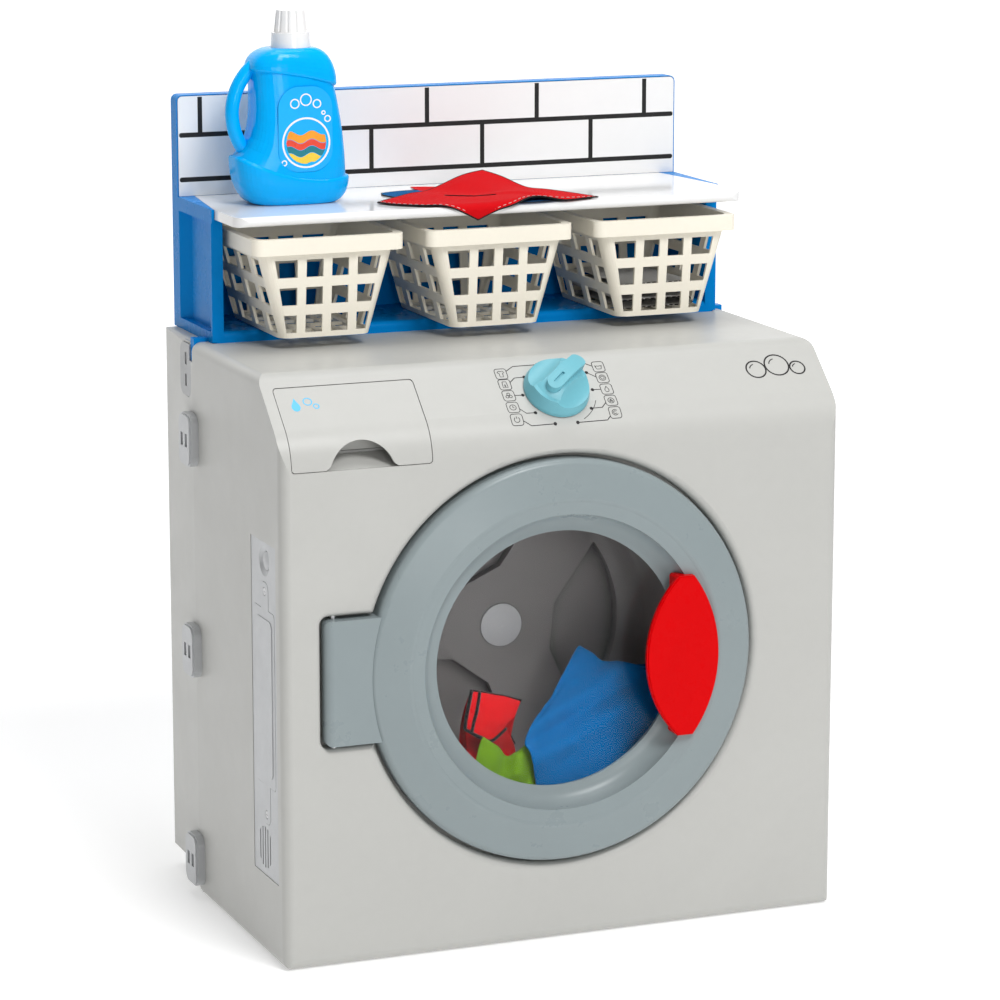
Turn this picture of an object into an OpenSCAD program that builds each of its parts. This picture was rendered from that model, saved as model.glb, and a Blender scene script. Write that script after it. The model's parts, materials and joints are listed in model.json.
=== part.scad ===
// Toy washing machine with a porthole door, a spinning drum, a detergent drawer, a dial,
// and a laundry shelf above it with three baskets, a bottle and folded cloths.
// The origin is on the floor under the middle of the cabinet: +X right, +Y back, +Z up.

/* [Cabinet] */
// Width of the cabinet
body_w = 480; // [470:1:520]
// Depth of the cabinet, front face to back face
body_d = 312; // [306:1:330]
// Height of the flat top above the floor
body_h = 470; // [466:1:490]
// Wall thickness of the moulded shells
wall = 3; // [2.5:0.1:3.5]
// Radius of the outer edges
edge_r = 8; // [6:0.5:10]
// Depth of the rear shell, from the seam to the back face
rear_d = 91; // [86:1:93]
// Depth of the sloped control panel
panel_d = 56; // [54:1:58]
// Height that the sloped panel drops
panel_drop = 50; // [48:1:52]
// Radius where the panel bends into the front face
bend_r = 45; // [38:1:48]
// Radius where the flat top bends into the panel
brow_r = 20; // [14:1:24]
// Height of the rear shell's underside above the floor
rear_lift = 20; // [16:1:24]
// Draw-in of each side of the rear shell at the back
rear_taper = 5; // [3:0.5:7]
// Gap between pieces that are fitted together
fit = 0.3; // [0.2:0.05:0.4]

/* [Door] */
// Door centre, left or right of the middle
door_x = -4; // [-8:1:0]
// Outer radius of the door ring
ring_r = 165; // [160:1:168]
// Gap round the ring in its pocket
ring_gap = 3; // [2.5:0.25:3.5]
// Depth of the door pocket
pocket_d = 15; // [14.8:0.1:17]
// Radius of the rounded lip round the pocket
lip_r = 6; // [4:0.5:7]
// Radius of the ridge that stands furthest forward
ridge_r = 134; // [130:1:138]
// Distance that the ridge stands in front of the cabinet
ridge_proud = 12; // [10:0.5:14]
// Radius of the clear window that shows
window_r = 105; // [102:1:106]
// Thickness of the window
window_t = 2; // [1.5:0.1:2.4]
// Height of the hinge tab
tab_h = 101; // [90:1:110]
// Distance from the cabinet's left side to the hinge tab
tab_inset = 34.5; // [32:0.5:38]
// Diameter of the hinge pin
hinge_pin_d = 4; // [3:0.25:5]
// Height of the handle
handle_h = 132; // [120:1:136]
// Width of the handle across its middle
handle_w = 63.4; // [58:0.2:66]

/* [Drum] */
// Inner radius of the drum
drum_r = 122; // [118:1:124]
// Depth from the front face to the raised back of the drum
drum_back = 131; // [126:1:136]
// Depth of the three recesses in the back of the drum
wedge_d = 9; // [6:0.5:11]
// Width of the raised arms between the recesses
arm_w = 60; // [52:1:66]
// Diameter of the hub cap
hub_d = 36; // [32:1:40]
// Diameter of the drum axle
axle_d = 10; // [8:0.5:12]
// Running gap on the radius of each shaft
run_gap = 0.05; // [0.03:0.01:0.09]

/* [Drawer and dial] */
// Distance from the cabinet's left side to the drawer front
drawer_inset = 9; // [9:0.5:11]
// Width of the drawer front
drawer_w = 117; // [112:1:119]
// Radius of the drawer front's corners
drawer_corner = 3; // [1.5:0.5:4]
// Gap round the drawer front
drawer_gap = 0.6; // [0.4:0.1:0.9]
// Length of the drawer's tray
tray_len = 124; // [110:1:130]
// Width of the finger arch
arch_w = 67; // [60:1:70]
// Height of the finger arch
arch_h = 22; // [18:1:24]
// Dial centre, left or right of the middle
dial_x = 2; // [-2:1:6]
// Distance of the dial centre up the slope, from the bottom corner
dial_up = 39; // [37:0.5:41]
// Diameter of the dial
dial_d = 54; // [50:1:56]
// Height of the dial's round skirt
dial_h = 13; // [11:0.5:15]
// Height of the dial's grip bar
grip_h = 23; // [20:0.5:24]
// Width of the grip bar
grip_w = 13; // [11:0.5:15]
// Direction of the grip bar, counted from the right
grip_turn = 39; // [25:1:80]

/* [Hutch] */
// Distance from each side of the cabinet to the hutch's side wall
hutch_inset = 14; // [12:0.5:16]
// Height of the hutch's top above the cabinet
hutch_rise = 194; // [186:1:202]
// Depth of the tray and side walls in front of the back panel
hutch_d = 88; // [84:1:92]
// Thickness of the hutch's back panel
splash_d = 15.5; // [14:0.5:17]
// Thickness of the hutch's tray
tray_t = 9; // [7:0.5:10]
// Height of the shelf's top above the cabinet
shelf_rise = 110; // [107:1:114]
// Thickness of the shelf board
shelf_t = 8; // [7:0.5:9]
// Distance that the shelf reaches in front of the hutch's side walls
shelf_reach = 59; // [50:1:62]
// How much narrower each side of the shelf gets towards the back
shelf_taper = 12; // [8:0.5:14]
// Length of one wall tile
tile_w = 100.7; // [90:0.1:110]
// Height of one wall tile
tile_h = 37; // [34:0.5:40]
// Width of the dark joints between tiles
grout_w = 4; // [3:0.5:5]

/* [Baskets] */
// Distance from one basket to the next
basket_step = 148.5; // [142:0.5:149]
// Outer length of a basket's rim, front to back
rim_l = 150; // [140:1:152]
// Height of a basket
basket_h = 82.5; // [80:0.5:85]
// Height of the rim band
rim_h = 13; // [12:0.5:16]
// Width of a basket's base
base_w = 78; // [72:1:84]
// Length of a basket's base
base_l = 126; // [118:1:130]
// Wall thickness of a basket
basket_wall = 2.4; // [2:0.1:3]
// Columns of windows on each side of a basket
window_cols = 4; // [3:1:5]
// Rows of windows on each side of a basket
window_rows = 3; // [2:1:4]

/* [Bottle] */
// Bottle centre, left or right of the middle
bottle_x = -146; // [-150:1:-140]
// Distance of the bottle centre behind the front of the hutch's side walls
bottle_back = 23.5; // [18:0.5:31]
// Height of the bottle without its cap
bottle_h = 127; // [120:1:132]
// Thickness of the bottle, front to back
bottle_t = 54; // [50:1:58]
// Height of the bottle's cap
cap_h = 30; // [27:1:33]

/* [Sound module] */
// Depth of the module's front edge behind the cabinet's front face
module_y0 = 15; // [14:0.5:17]
// Width of the module plate
module_w = 60; // [58:1:62]
// Height of the module plate's lower edge
module_z0 = 67; // [62:1:72]
// Height of the module plate
module_h = 273; // [270:1:280]
// Depth of the module behind the cabinet's side wall
module_d = 20; // [19.5:0.5:22]
// Diameter of one battery cell
cell_d = 14.4; // [14.2:0.1:14.5]
// Length of one battery cell
cell_l = 50.4; // [50:0.1:50.5]

/* [Hidden] */
$fn = 48;
eps = 1;

front_d = body_d - rear_d;
door_z = body_h / 2 - 3;

// Slope of the control panel, and the centres of its two bends, as (depth, height)
slope = atan2(panel_drop, panel_d);
slope_out = [-sin(slope), cos(slope)];
slope_up = [cos(slope), sin(slope)];
bend_c = [bend_r, body_h + ((bend_r - panel_d) * sin(slope) - bend_r) / cos(slope)];
brow_c = [panel_d + brow_r * (1 - cos(slope)) / sin(slope), body_h - brow_r];
slope_foot = [panel_d, body_h] - slope_up * norm([panel_d, panel_drop]);

// Screws that close the shells, and the tubes that guide them
screw_x = body_w / 2 - 19;
screw_zs = [0.15, 0.5, 0.85] * body_h;
screw_r = 1.6;
head_r = 3.2;
boss_r = 6;
tube_r = 7;

// Side clips across the seam
clip_w = 30;
clip_h = 44;
clip_t = 8;
clip_zs = [0.068, 0.451, 0.83] * body_h;
clip_stub = [14, 22, 7];
top_clip_z = body_h - 25;
top_clip_t = 2.4;
top_clip_y = front_d + 4 + clip_w / 2;

// Hutch tabs that drop behind the seam
hook_w = 9;
hook_t = 5;
hook_h = 16;

// Door, as depths behind the front face
edge_front = 5.5;
ring_edge_r = 6;
ridge_edge_r = 5;
bowl_c = [window_r - 1, -10];
glass_y = 8;
bowl_r = norm([window_r, glass_y - 1] - bowl_c);
bowl_edge = bowl_c[0] + sqrt(bowl_r * bowl_r - 4);
back_t = 2.5;
back_y = glass_y + window_t;
ring_skin = 3;
seat_r = window_r + 6;
land_r = window_r + 19;
door_screw_r = (land_r + ring_r - ring_skin) / 2;
door_screws_n = 6;
pocket_r = ring_r + ring_gap;
opening_r = drum_r - 4;
tab_z = door_z;
tab_front = -5;
tab_back = back_y + back_t - 0.5;
hinge_y = 5;
tab_x0 = tab_inset - body_w / 2;
tab_reach = door_x - ring_r - tab_x0;
tab_corner = 7;
hinge_x = tab_x0 + 9;
pin_r = hinge_pin_d / 2;
pin_len = tab_h + 2 * ring_gap + 18;
latch_r = ring_r - 15;
latch_h = 16;

// Handle, a lens cut from two circles
handle_x1 = door_x + ridge_r - 3.2;
handle_z = door_z - 2;
handle_front = -ridge_proud - 4.4;
handle_back = -ridge_proud - fit;
handle_right_r = 109;
handle_left_r = 92;

// Drum and what carries it
drum_t = 3;
drum_front = pocket_d + wall + 2;
drum_turn = 6;
wedge_r0 = 46;
wedge_r1 = drum_r - 17;
drum_corner = 22;
hub_boss_r = 15;
hub_boss_y = drum_back + wedge_d + drum_t + 8;
carrier_y = hub_boss_y + 3;
carrier_t = 4;
seat_t = 1;
post_r = 7;
post_ring = drum_r + drum_t + 21;
post_angles = [90, 210, 330];
bush_r = axle_d / 2 + 4;
bush_len = 24;
axle_end = carrier_y + bush_len + 12;

// Drawer
drawer_x0 = drawer_inset - body_w / 2;
drawer_x1 = drawer_x0 + drawer_w;
drawer_z0 = door_z + ring_r + 4;
arch_foot_r = 9;
arch_top_r = (arch_w * arch_w / 4 + arch_h * arch_h - 2 * arch_foot_r * arch_h) / (2 * arch_h);
drawer_top_up = norm([panel_d, panel_drop]) - 14;
sill_d = 24;
sill_lip = wall + 1;
sill_rise = 9;
tray_z0 = drawer_z0 + sill_rise + 2;
tray_z1 = slope_foot[1] + 18;
tray_y0 = sill_d + 3;
tray_y1 = tray_y0 + tray_len;
tray_wall = 2;
guide_t = 2;
tray_x0 = drawer_x0 + 5;
tray_x1 = drawer_x1 - 5;

// Dial
dial_c = slope_foot + slope_up * dial_up;
spindle_r = 3;
switch_t = 12;

// Hutch
hutch_w = body_w - 2 * hutch_inset;
hutch_top = body_h + hutch_rise;
hutch_front = body_d - splash_d - hutch_d;
shelf_z = body_h + shelf_rise;
side_t = 2.6;
pillar_w = 9.8;
flange_w = 2.4;
shelf_w = hutch_w - 2 * flange_w - 2 * fit;
shelf_y0 = hutch_front - shelf_reach;
shelf_y1 = body_d - splash_d;
tile_rim = 0.8;
tile_t = 3;
tile_shift = -4.5;
tile_top = hutch_top - tile_rim;
tile_row_1 = hutch_top - 33.2;
tile_row_2 = tile_row_1 - tile_h;

// Baskets
rim_w = basket_step - 19.5;
basket_x = hutch_w / 2 - pillar_w - 0.6 - rim_w / 2 - basket_step;
basket_z0 = body_h + tray_t + fit;
basket_y1 = shelf_y1 - fit - 1;
basket_yc = basket_y1 - rim_l / 2;
rim_out = 4;
rim_corner = 8;

// Sound module
side_x = -body_w / 2;
module_y1 = module_y0 + module_w;
module_z1 = module_z0 + module_h;
plate_t = 2.5;
door_t = 2.2;
cover_z0 = module_z0 + 75;
cover_z1 = cover_z0 + 144;
cover_yc = (module_y0 + module_y1) / 2;
tongue_w = 18;
tongue_up = 22;
tongue_down = 32;
bay_l = 2 * cell_l + 7;
bay_w = 2 * cell_d + 3;
bay_z0 = (cover_z0 + cover_z1 - bay_l) / 2;
bay_z1 = bay_z0 + bay_l;
bay_y0 = cover_yc - bay_w / 2;
bay_y1 = cover_yc + bay_w / 2;
button_r = 7.5;
button_y = module_y0 + 28;
button_z = module_z1 - 15.5;
cover_screw_zs = [cover_z0 - 24, cover_z1 + 14];
cell_x = side_x + door_t + cell_d / 2 + 1;
grille_y = module_y0 + 33;
grille_z = module_z0 + 23;

// Every part below is drawn with y as the depth behind the cabinet's front face
module from_front() { translate([0, -body_d / 2, 0]) children(); }

// Flat outlines pushed out along one axis, from one plane to another
module along_x(x0, x1) { translate([x0, 0, 0]) rotate([90, 0, 90]) linear_extrude(x1 - x0) children(); }
module along_y(y0, y1) { translate([0, y1, 0]) rotate([90, 0, 0]) linear_extrude(y1 - y0) children(); }
module along_z(z0, z1) { translate([0, 0, z0]) linear_extrude(z1 - z0) children(); }
// A bar between two corners
module bar(a, b) { translate(a) cube(b - a); }
// A round bar along y, or along x
module round_y(x, z, r, y0, y1) { translate([x, y0, z]) rotate([-90, 0, 0]) cylinder(h = y1 - y0, r = r); }
module round_x(y, z, r, x0, x1) { translate([x0, y, z]) rotate([0, 90, 0]) cylinder(h = x1 - x0, r = r); }
// A pair of the same thing on the left and on the right
module both_sides() { children(); mirror([1, 0, 0]) children(); }
// A profile of (radius, depth) turned about the door's axis
module around_door() { translate([door_x, 0, door_z]) rotate([-90, 0, 0]) rotate_extrude($fn = 144) children(); }
module round_rect(w, h, r) {
    square([w - 2 * r, h], center = true);
    square([w, h - 2 * r], center = true);
    for (x = [-1, 1], y = [-1, 1]) translate([x * (w / 2 - r), y * (h / 2 - r)]) circle(r);
}

// A closed solid through a list of rings that all have the same number of points
module loft(rings) {
    n = len(rings[0]);
    m = len(rings);
    points = [for (ring = rings) each ring];
    sides = [for (i = [0:m - 2], j = [0:n - 1]) let (k = (j + 1) % n)
        each [[i * n + j, (i + 1) * n + j, (i + 1) * n + k], [i * n + j, (i + 1) * n + k, i * n + k]]];
    low = [for (j = [1:n - 2]) [0, j, j + 1]];
    high = [for (j = [1:n - 2]) [(m - 1) * n, (m - 1) * n + j + 1, (m - 1) * n + j]];
    polyhedron(points = points, faces = concat(sides, low, high));
}

// A closed sheet between a grid of upper points and a grid of lower points
module sheet(upper, lower) {
    n = len(upper);
    m = len(upper[0]);
    s = n * m;
    points = concat([for (row = upper) each row], [for (row = lower) each row]);
    top = [for (i = [0:n - 2], j = [0:m - 2]) let (a = i * m + j)
        each [[a, a + 1, a + m + 1], [a, a + m + 1, a + m]]];
    under = [for (f = top) [f[2] + s, f[1] + s, f[0] + s]];
    rim = concat([for (j = [0:m - 2]) j + 1], [for (i = [1:n - 1]) i * m + m - 1],
        [for (j = [m - 2:-1:0]) (n - 1) * m + j], [for (i = [n - 2:-1:0]) i * m]);
    edge = [for (q = [0:len(rim) - 1]) let (a = rim[q], b = rim[(q + 1) % len(rim)])
        each [[a, a + s, b + s], [a, b + s, b]]];
    polyhedron(points = points, faces = concat(top, under, edge));
}

// A tube swept along a list of points
function unit(v) = v / norm(v);
function tube_rings(path, r, n) = [for (i = [0:len(path) - 1])
    let (t = unit(path[min(i + 1, len(path) - 1)] - path[max(i - 1, 0)]),
        u = unit(cross(t, [0, 1, 0])), v = cross(t, u))
    [for (j = [0:n - 1]) path[i] + r * (cos(360 * j / n) * u + sin(360 * j / n) * v)]];
module tube(path, r, n) { loft(tube_rings(path, r, n)); }

// Cabinet outline from the side, as (depth, height), set in by i
module cabinet_side(i, y_end) {
    polygon([[edge_r, i], [i, edge_r], [i, bend_c[1]], bend_c + (bend_r - i) * slope_out,
        brow_c + (brow_r - i) * slope_out, [brow_c[0], body_h - i], [y_end, body_h - i], [y_end, i]]);
    translate(bend_c) circle(bend_r - i, $fn = 96);
    translate(brow_c) circle(brow_r - i);
    translate([edge_r, edge_r]) circle(edge_r - i);
}

// The cabinet's form up to a given depth, set in by i
module cabinet_form(i, y_end) {
    intersection() {
        along_x(-body_w / 2 + i, body_w / 2 - i) cabinet_side(i, y_end);
        along_y(-eps, y_end + eps) translate([0, body_h / 2]) round_rect(body_w - 2 * i, body_h - 2 * i, edge_r - i);
        along_z(-eps, body_h + eps) translate([0, body_d / 2]) round_rect(body_w - 2 * i, body_d - 2 * i, edge_r - i);
    }
}

// Outline of the door pocket, grown by g
module pocket_outline(g) {
    translate([door_x, door_z]) circle(pocket_r + g, $fn = 144);
    translate([door_x - (ring_r + tab_reach) / 2, tab_z])
        round_rect(ring_r + tab_reach + 2 * ring_gap + 2 * g, tab_h + 2 * ring_gap + 2 * g, tab_corner + g);
}

// What is cut from the front for the pocket, with the soft lip round it
module pocket_cut() {
    along_y(-eps, pocket_d) pocket_outline(0);
    around_door() difference() {
        translate([0, -eps]) square([pocket_r + lip_r, lip_r + eps]);
        translate([pocket_r + lip_r, lip_r]) circle(lip_r);
    }
    tab_top = tab_h / 2 + ring_gap;
    tab_end = tab_x0 - ring_gap;
    tab_lip = lip_r * 0.6;
    bend_x = tab_end + tab_corner;
    bend_z = tab_top - tab_corner;
    for (s = [-1, 1]) {
        difference() {
            bar([bend_x, -eps, tab_z + (s > 0 ? bend_z : -tab_top - tab_lip)],
                [door_x - 150, tab_lip, tab_z + (s > 0 ? tab_top + tab_lip : -bend_z)]);
            round_x(tab_lip, tab_z + s * (tab_top + tab_lip), tab_lip, bend_x - eps, door_x - 150 + eps);
        }
        // the lip round each corner of the tab's recess
        translate([bend_x, 0, tab_z + s * bend_z]) rotate([-90, 0, 0]) rotate([0, 0, s > 0 ? 180 : 90])
            rotate_extrude(angle = 90, $fn = 96) difference() {
                translate([0, -eps]) square([tab_corner + tab_lip, tab_lip + eps]);
                translate([tab_corner + tab_lip, tab_lip]) circle(tab_lip);
            }
    }
    difference() {
        bar([tab_end - tab_lip, -eps, tab_z - bend_z], [bend_x, tab_lip, tab_z + bend_z]);
        translate([tab_end - tab_lip, tab_lip, tab_z - bend_z - eps])
            cylinder(h = 2 * bend_z + 2 * eps, r = tab_lip);
    }
}

// Places the children at each post of the drum's carrier
module at_posts() {
    for (a = post_angles) translate([door_x + post_ring * cos(a), 0, door_z + post_ring * sin(a)]) children();
}

// Outline of the drawer front seen from the front, set in by g
module drawer_outline(g) {
    z1 = (slope_foot + slope_up * drawer_top_up)[1];
    translate([(drawer_x0 + drawer_x1) / 2, (drawer_z0 + z1) / 2])
        round_rect(drawer_w - 2 * g, z1 - drawer_z0 - 2 * g, drawer_corner - g / 2);
}

// Points on an arc
function arc(c, r, a0, a1, n) = [for (i = [0:n]) let (a = a0 + (a1 - a0) * i / n) c + r * [cos(a), sin(a)]];

// The bell-shaped finger arch in the drawer front: a wide curve on two turned-out feet
module arch_outline() {
    half = arch_w / 2;
    top_z = arch_h - arch_top_r;
    lean = atan2(arch_foot_r - top_z, half);
    right = arc([half, arch_foot_r], arch_foot_r, 270, 180 + lean, 8);
    top = arc([0, top_z], arch_top_r, lean, 180 - lean, 28);
    left = arc([-half, arch_foot_r], arch_foot_r, 360 - lean, 270, 8);
    translate([(drawer_x0 + drawer_x1) / 2, drawer_z0])
        polygon(concat([[half, -eps]], right, [for (i = [1:27]) top[i]], left, [[-half, -eps]]));
}

// Frame on the sloped panel at the dial: z points straight out of the slope
module at_dial() { translate([dial_x, dial_c[0], dial_c[1]]) rotate([slope, 0, 0]) children(); }

// Openings in both shells for the clips' stubs, and at the seam for the hutch's tabs
module seam_cuts() {
    both_sides() {
        for (z = clip_zs) along_x(-body_w / 2 - eps, -body_w / 2 + clip_stub[2] + eps)
            translate([front_d, z]) square([clip_stub[0] + 2 * fit, clip_stub[1] + 2 * fit], center = true);
        bar([-body_w / 2 - eps, front_d - fit, body_h - hook_h - fit],
            [-body_w / 2 + 2 + hook_t + fit, front_d + hook_w + fit, body_h + eps]);
    }
}

module front_shell() {
    color([0.80, 0.80, 0.78]) from_front() difference() {
        union() {
            difference() {
                cabinet_form(0, front_d);
                cabinet_form(wall, front_d + eps);
            }
            // walls and floor of the door pocket
            intersection() {
                cabinet_form(0, front_d);
                along_y(0, pocket_d + wall) pocket_outline(wall);
            }
            // blocks that hold the hinge pin, above and below the tab
            for (s = [-1, 1]) translate([0, 0, tab_z + s * (tab_h / 2 + ring_gap + 6)])
                bar([hinge_x - 6, 0, -6], [hinge_x + 6, hinge_y + 6, 6]);
            // posts for the drum's carrier
            at_posts() round_y(0, 0, post_r, pocket_d + eps, carrier_y);
            // bosses for the shell screws, each with a web to the side wall
            both_sides() for (z = screw_zs) {
                round_y(screw_x, z, boss_r, front_d - 60, front_d);
                bar([screw_x, front_d - 60, z - 1.2], [body_w / 2 - 1, front_d, z + 1.2]);
            }
            // wall that closes the seam below the rear shell
            bar([-body_w / 2 + 2, front_d - wall, 2], [body_w / 2 - 2, front_d, rear_lift + 6]);
            // sloping sill behind the finger arch
            along_x(drawer_x0 - 2, drawer_x1 + 2) polygon([[1, drawer_z0 - wall], [1, drawer_z0], [sill_lip, drawer_z0],
                [sill_d, drawer_z0 + sill_rise], [sill_d, drawer_z0 - wall]]);
        }
        pocket_cut();
        around_door() square([opening_r, pocket_d + wall + eps]);
        bar([door_x + latch_r - 8, pocket_d - eps, door_z - latch_h / 2 - 2],
            [door_x + latch_r + 8, pocket_d + wall + eps, door_z + latch_h / 2 + 2]);
        translate([hinge_x, hinge_y, tab_z - pin_len / 2 - run_gap]) cylinder(h = pin_len + 2 * run_gap, r = pin_r + run_gap);
        intersection() {
            along_y(-eps, panel_d) drawer_outline(0);
            cabinet_form(-eps, front_d);
            along_x(drawer_x0, drawer_x1) polygon([[-2, drawer_z0], [sill_lip, drawer_z0], [sill_d, drawer_z0 + sill_rise],
                [panel_d, drawer_z0 + sill_rise], [panel_d, body_h], [-2, body_h]]);
        }
        at_dial() translate([0, 0, -wall - eps]) cylinder(h = wall + 2 * eps, r = spindle_r + 2);
        along_x(side_x - eps, side_x + wall + eps) translate([module_y0, module_z0]) square([module_w, module_h]);
        seam_cuts();
        at_posts() round_y(0, 0, screw_r * 0.8, carrier_y - 16, carrier_y + eps);
        both_sides() for (z = screw_zs) round_y(screw_x, z, screw_r * 0.8, front_d - 20, front_d + eps);
    }
}

// Half width of the rear shell at a depth
function rear_half(y) = body_w / 2 - rear_taper * (y - front_d) / (body_d - front_d);

// The rear shell's form from a given depth back, set in by i
module rear_form(i, y0) {
    corner_y = body_d - edge_r;
    corner_x = rear_half(corner_y) - edge_r;
    intersection() {
        along_z(rear_lift + i, body_h - i) {
            polygon([[-rear_half(y0) + i, y0], [-corner_x - edge_r + i, corner_y], [-corner_x, body_d - i],
                [corner_x, body_d - i], [corner_x + edge_r - i, corner_y], [rear_half(y0) - i, y0]]);
            for (s = [-1, 1]) translate([s * corner_x, corner_y]) circle(edge_r - i);
        }
        along_y(y0 - eps, body_d + eps) translate([0, (rear_lift + body_h) / 2])
            round_rect(body_w - 2 * i, body_h - rear_lift - 2 * i, edge_r - i);
        along_x(-body_w / 2, body_w / 2) translate([body_d / 2, (rear_lift + body_h) / 2])
            round_rect(body_d - 2 * i, body_h - rear_lift - 2 * i, edge_r - i);
    }
}

module top_clip_outline(g) { translate([top_clip_y, top_clip_z]) round_rect(clip_w + 2 * g, clip_h + 2 * g, 9 + g); }

module rear_shell() {
    lap = wall + fit;
    lap_t = 2;
    color([0.78, 0.78, 0.77]) from_front() difference() {
        union() {
            difference() {
                rear_form(0, front_d);
                rear_form(wall, front_d - eps);
            }
            // rim that laps inside the front shell on both sides and the top, and its step to the wall
            for (step = [[-6, lap], [0, wall - 0.8]]) along_y(front_d + step[0], front_d + 4) difference() {
                translate([0, body_h / 2]) round_rect(body_w - 2 * step[1], body_h - 2 * step[1], edge_r - step[1]);
                translate([0, body_h / 2 - lap_t]) square([body_w - 2 * lap - 2 * lap_t, body_h - 2 * lap], center = true);
                translate([-body_w / 2, 0]) square([body_w, rear_lift + 8]);
            }
            // tubes that guide the shell screws
            both_sides() for (z = screw_zs) round_y(screw_x, z, tube_r, front_d, body_d - 1);
            // backing behind the recess of each top clip
            both_sides() along_x(-body_w / 2 + 2, -body_w / 2 + top_clip_t + 5) top_clip_outline(2);
        }
        both_sides() for (z = screw_zs) {
            round_y(screw_x, z, tube_r - 2, front_d + 6, body_d + eps);
            round_y(screw_x, z, screw_r + 0.2, front_d - eps, front_d + 6 + eps);
        }
        both_sides() along_x(-body_w / 2 - eps, -body_w / 2 + top_clip_t + 1) top_clip_outline(fit);
        both_sides() for (z = screw_zs) {
            round_y(screw_x, z, boss_r + fit, front_d - 8, front_d);
            bar([screw_x, front_d - 8, z - 1.2 - fit], [body_w / 2, front_d, z + 1.2 + fit]);
        }
        seam_cuts();
    }
}

module side_clips() {
    color([0.70, 0.71, 0.72]) from_front() both_sides() for (z = clip_zs) difference() {
        union() {
            along_x(-body_w / 2 - clip_t + 1.5, -body_w / 2 - 0.02) translate([front_d, z]) round_rect(clip_w, clip_h, 9);
            along_x(-body_w / 2 - clip_t, -body_w / 2 - 2) translate([front_d, z])
                round_rect(clip_w - 3, clip_h - 3, 7.5);
            along_x(-body_w / 2 - 2, -body_w / 2 + clip_stub[2]) translate([front_d, z])
                square([clip_stub[0], clip_stub[1]], center = true);
        }
        for (s = [-1, 1]) along_x(-body_w / 2 - clip_t - eps, -body_w / 2 - clip_t + 3)
            translate([front_d + s * 5.5, z]) square([6, 11], center = true);
    }
}

module top_clips() {
    color([0.52, 0.53, 0.55]) from_front() both_sides() difference() {
        along_x(-body_w / 2 + 0.8, -body_w / 2 + 0.8 + top_clip_t) top_clip_outline(0);
        for (s = [-1, 1]) along_x(-body_w / 2 - eps, -body_w / 2 + 1.8)
            translate([top_clip_y, top_clip_z + s * 9]) square([5, 10], center = true);
        seam_cuts();
    }
}

module shell_screws() {
    color([0.60, 0.60, 0.62]) from_front() both_sides() for (z = screw_zs) difference() {
        union() {
            round_y(screw_x, z, screw_r * 0.78, front_d - 14, front_d + 7);
            round_y(screw_x, z, head_r, front_d + 6, front_d + 8.5);
        }
        for (q = [0, 90]) translate([screw_x, front_d + 8, z]) rotate([0, q, 0])
            cube([4, 2, 0.8], center = true);
    }
}

// Plan of one side wall of the hutch, on the right: pillar, thin wall, and bend into the back
module hutch_side_plan() {
    x = hutch_w / 2;
    y0 = hutch_front;
    y1 = body_d - splash_d;
    polygon([[x - pillar_w, y0], [x, y0], [x, y0 + 3], [x - pillar_w + side_t, y0 + 3],
        [x - pillar_w + side_t, y1 - 15], [x, y1 - 2], [x, y1 + 2], [x - 5, y1 + 2], [x - pillar_w, y1 - 13]]);
}

// Plan of a strip beside the shelf, on the right: w wide at its front end, which is at y0
module shelf_side_plan(w, y0) {
    x = hutch_w / 2;
    y1 = body_d - splash_d;
    polygon([[x - w, y0], [x, y0], [x, y1 + 1], [x - w - shelf_taper, y1 + 1], [x - w - shelf_taper, y1], [x - w, hutch_front]]);
}

module hutch_frame() {
    x = hutch_w / 2;
    back_cells = 7;
    cell_w = (hutch_w - 12) / back_cells;
    color([0.0, 0.55, 0.80]) from_front() difference() {
        union() {
            // tray that lies on the cabinet
            intersection() {
                along_z(body_h, body_h + tray_t) translate([0, (hutch_front + body_d) / 2])
                    round_rect(hutch_w, body_d - hutch_front, 6);
                along_x(-x, x) {
                    translate([hutch_front + tray_t / 2, body_h]) square([body_d - hutch_front, tray_t]);
                    translate([hutch_front + tray_t / 2, body_h + tray_t / 2]) circle(tray_t / 2);
                    translate([hutch_front, body_h]) square([tray_t, tray_t / 2]);
                }
            }
            // back panel
            along_y(body_d - splash_d, body_d) {
                translate([0, (body_h + hutch_top) / 2]) round_rect(hutch_w, hutch_top - body_h, 5);
                translate([-x, body_h]) square([hutch_w, 10]);
            }
            both_sides() {
                along_z(body_h + 1, shelf_z - shelf_t - fit) hutch_side_plan();
                // ledge under the shelf, and the upstand that the shelf lies inside, wider towards the back
                along_z(shelf_z - shelf_t - 3 - fit, shelf_z - shelf_t - fit) shelf_side_plan(pillar_w, hutch_front);
                along_z(shelf_z - shelf_t - 3, shelf_z) shelf_side_plan(flange_w, hutch_front - 2);
                // tab that drops behind the seam
                bar([-body_w / 2 + 2, front_d, body_h - hook_h], [-body_w / 2 + 2 + hook_t, front_d + hook_w, body_h + 3]);
                bar([-body_w / 2 + 2, front_d, body_h], [-x + 6, front_d + hook_w, body_h + 3]);
            }
        }
        // seat of the tile panel
        along_y(body_d - splash_d - eps, body_d - splash_d + tile_t) tile_outline(0);
        // hollow back with upright ribs
        for (k = [0:back_cells - 1]) along_y(body_d - splash_d + tile_t + 2.5, body_d + eps)
            translate([-x + 6 + cell_w * (k + 0.5), (body_h + hutch_top) / 2])
            square([cell_w - 2.4, hutch_top - body_h - 12], center = true);
    }
}

// Outline of the tile panel with its two round upper corners, set in by g
module tile_outline(g) {
    w = hutch_w - 2 * tile_rim - 2 * g;
    h = tile_top - shelf_z - g;
    translate([0, shelf_z + h / 2]) round_rect(w, h, 4.2 - g);
    translate([-w / 2, shelf_z]) square([w, h / 2]);
}

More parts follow.
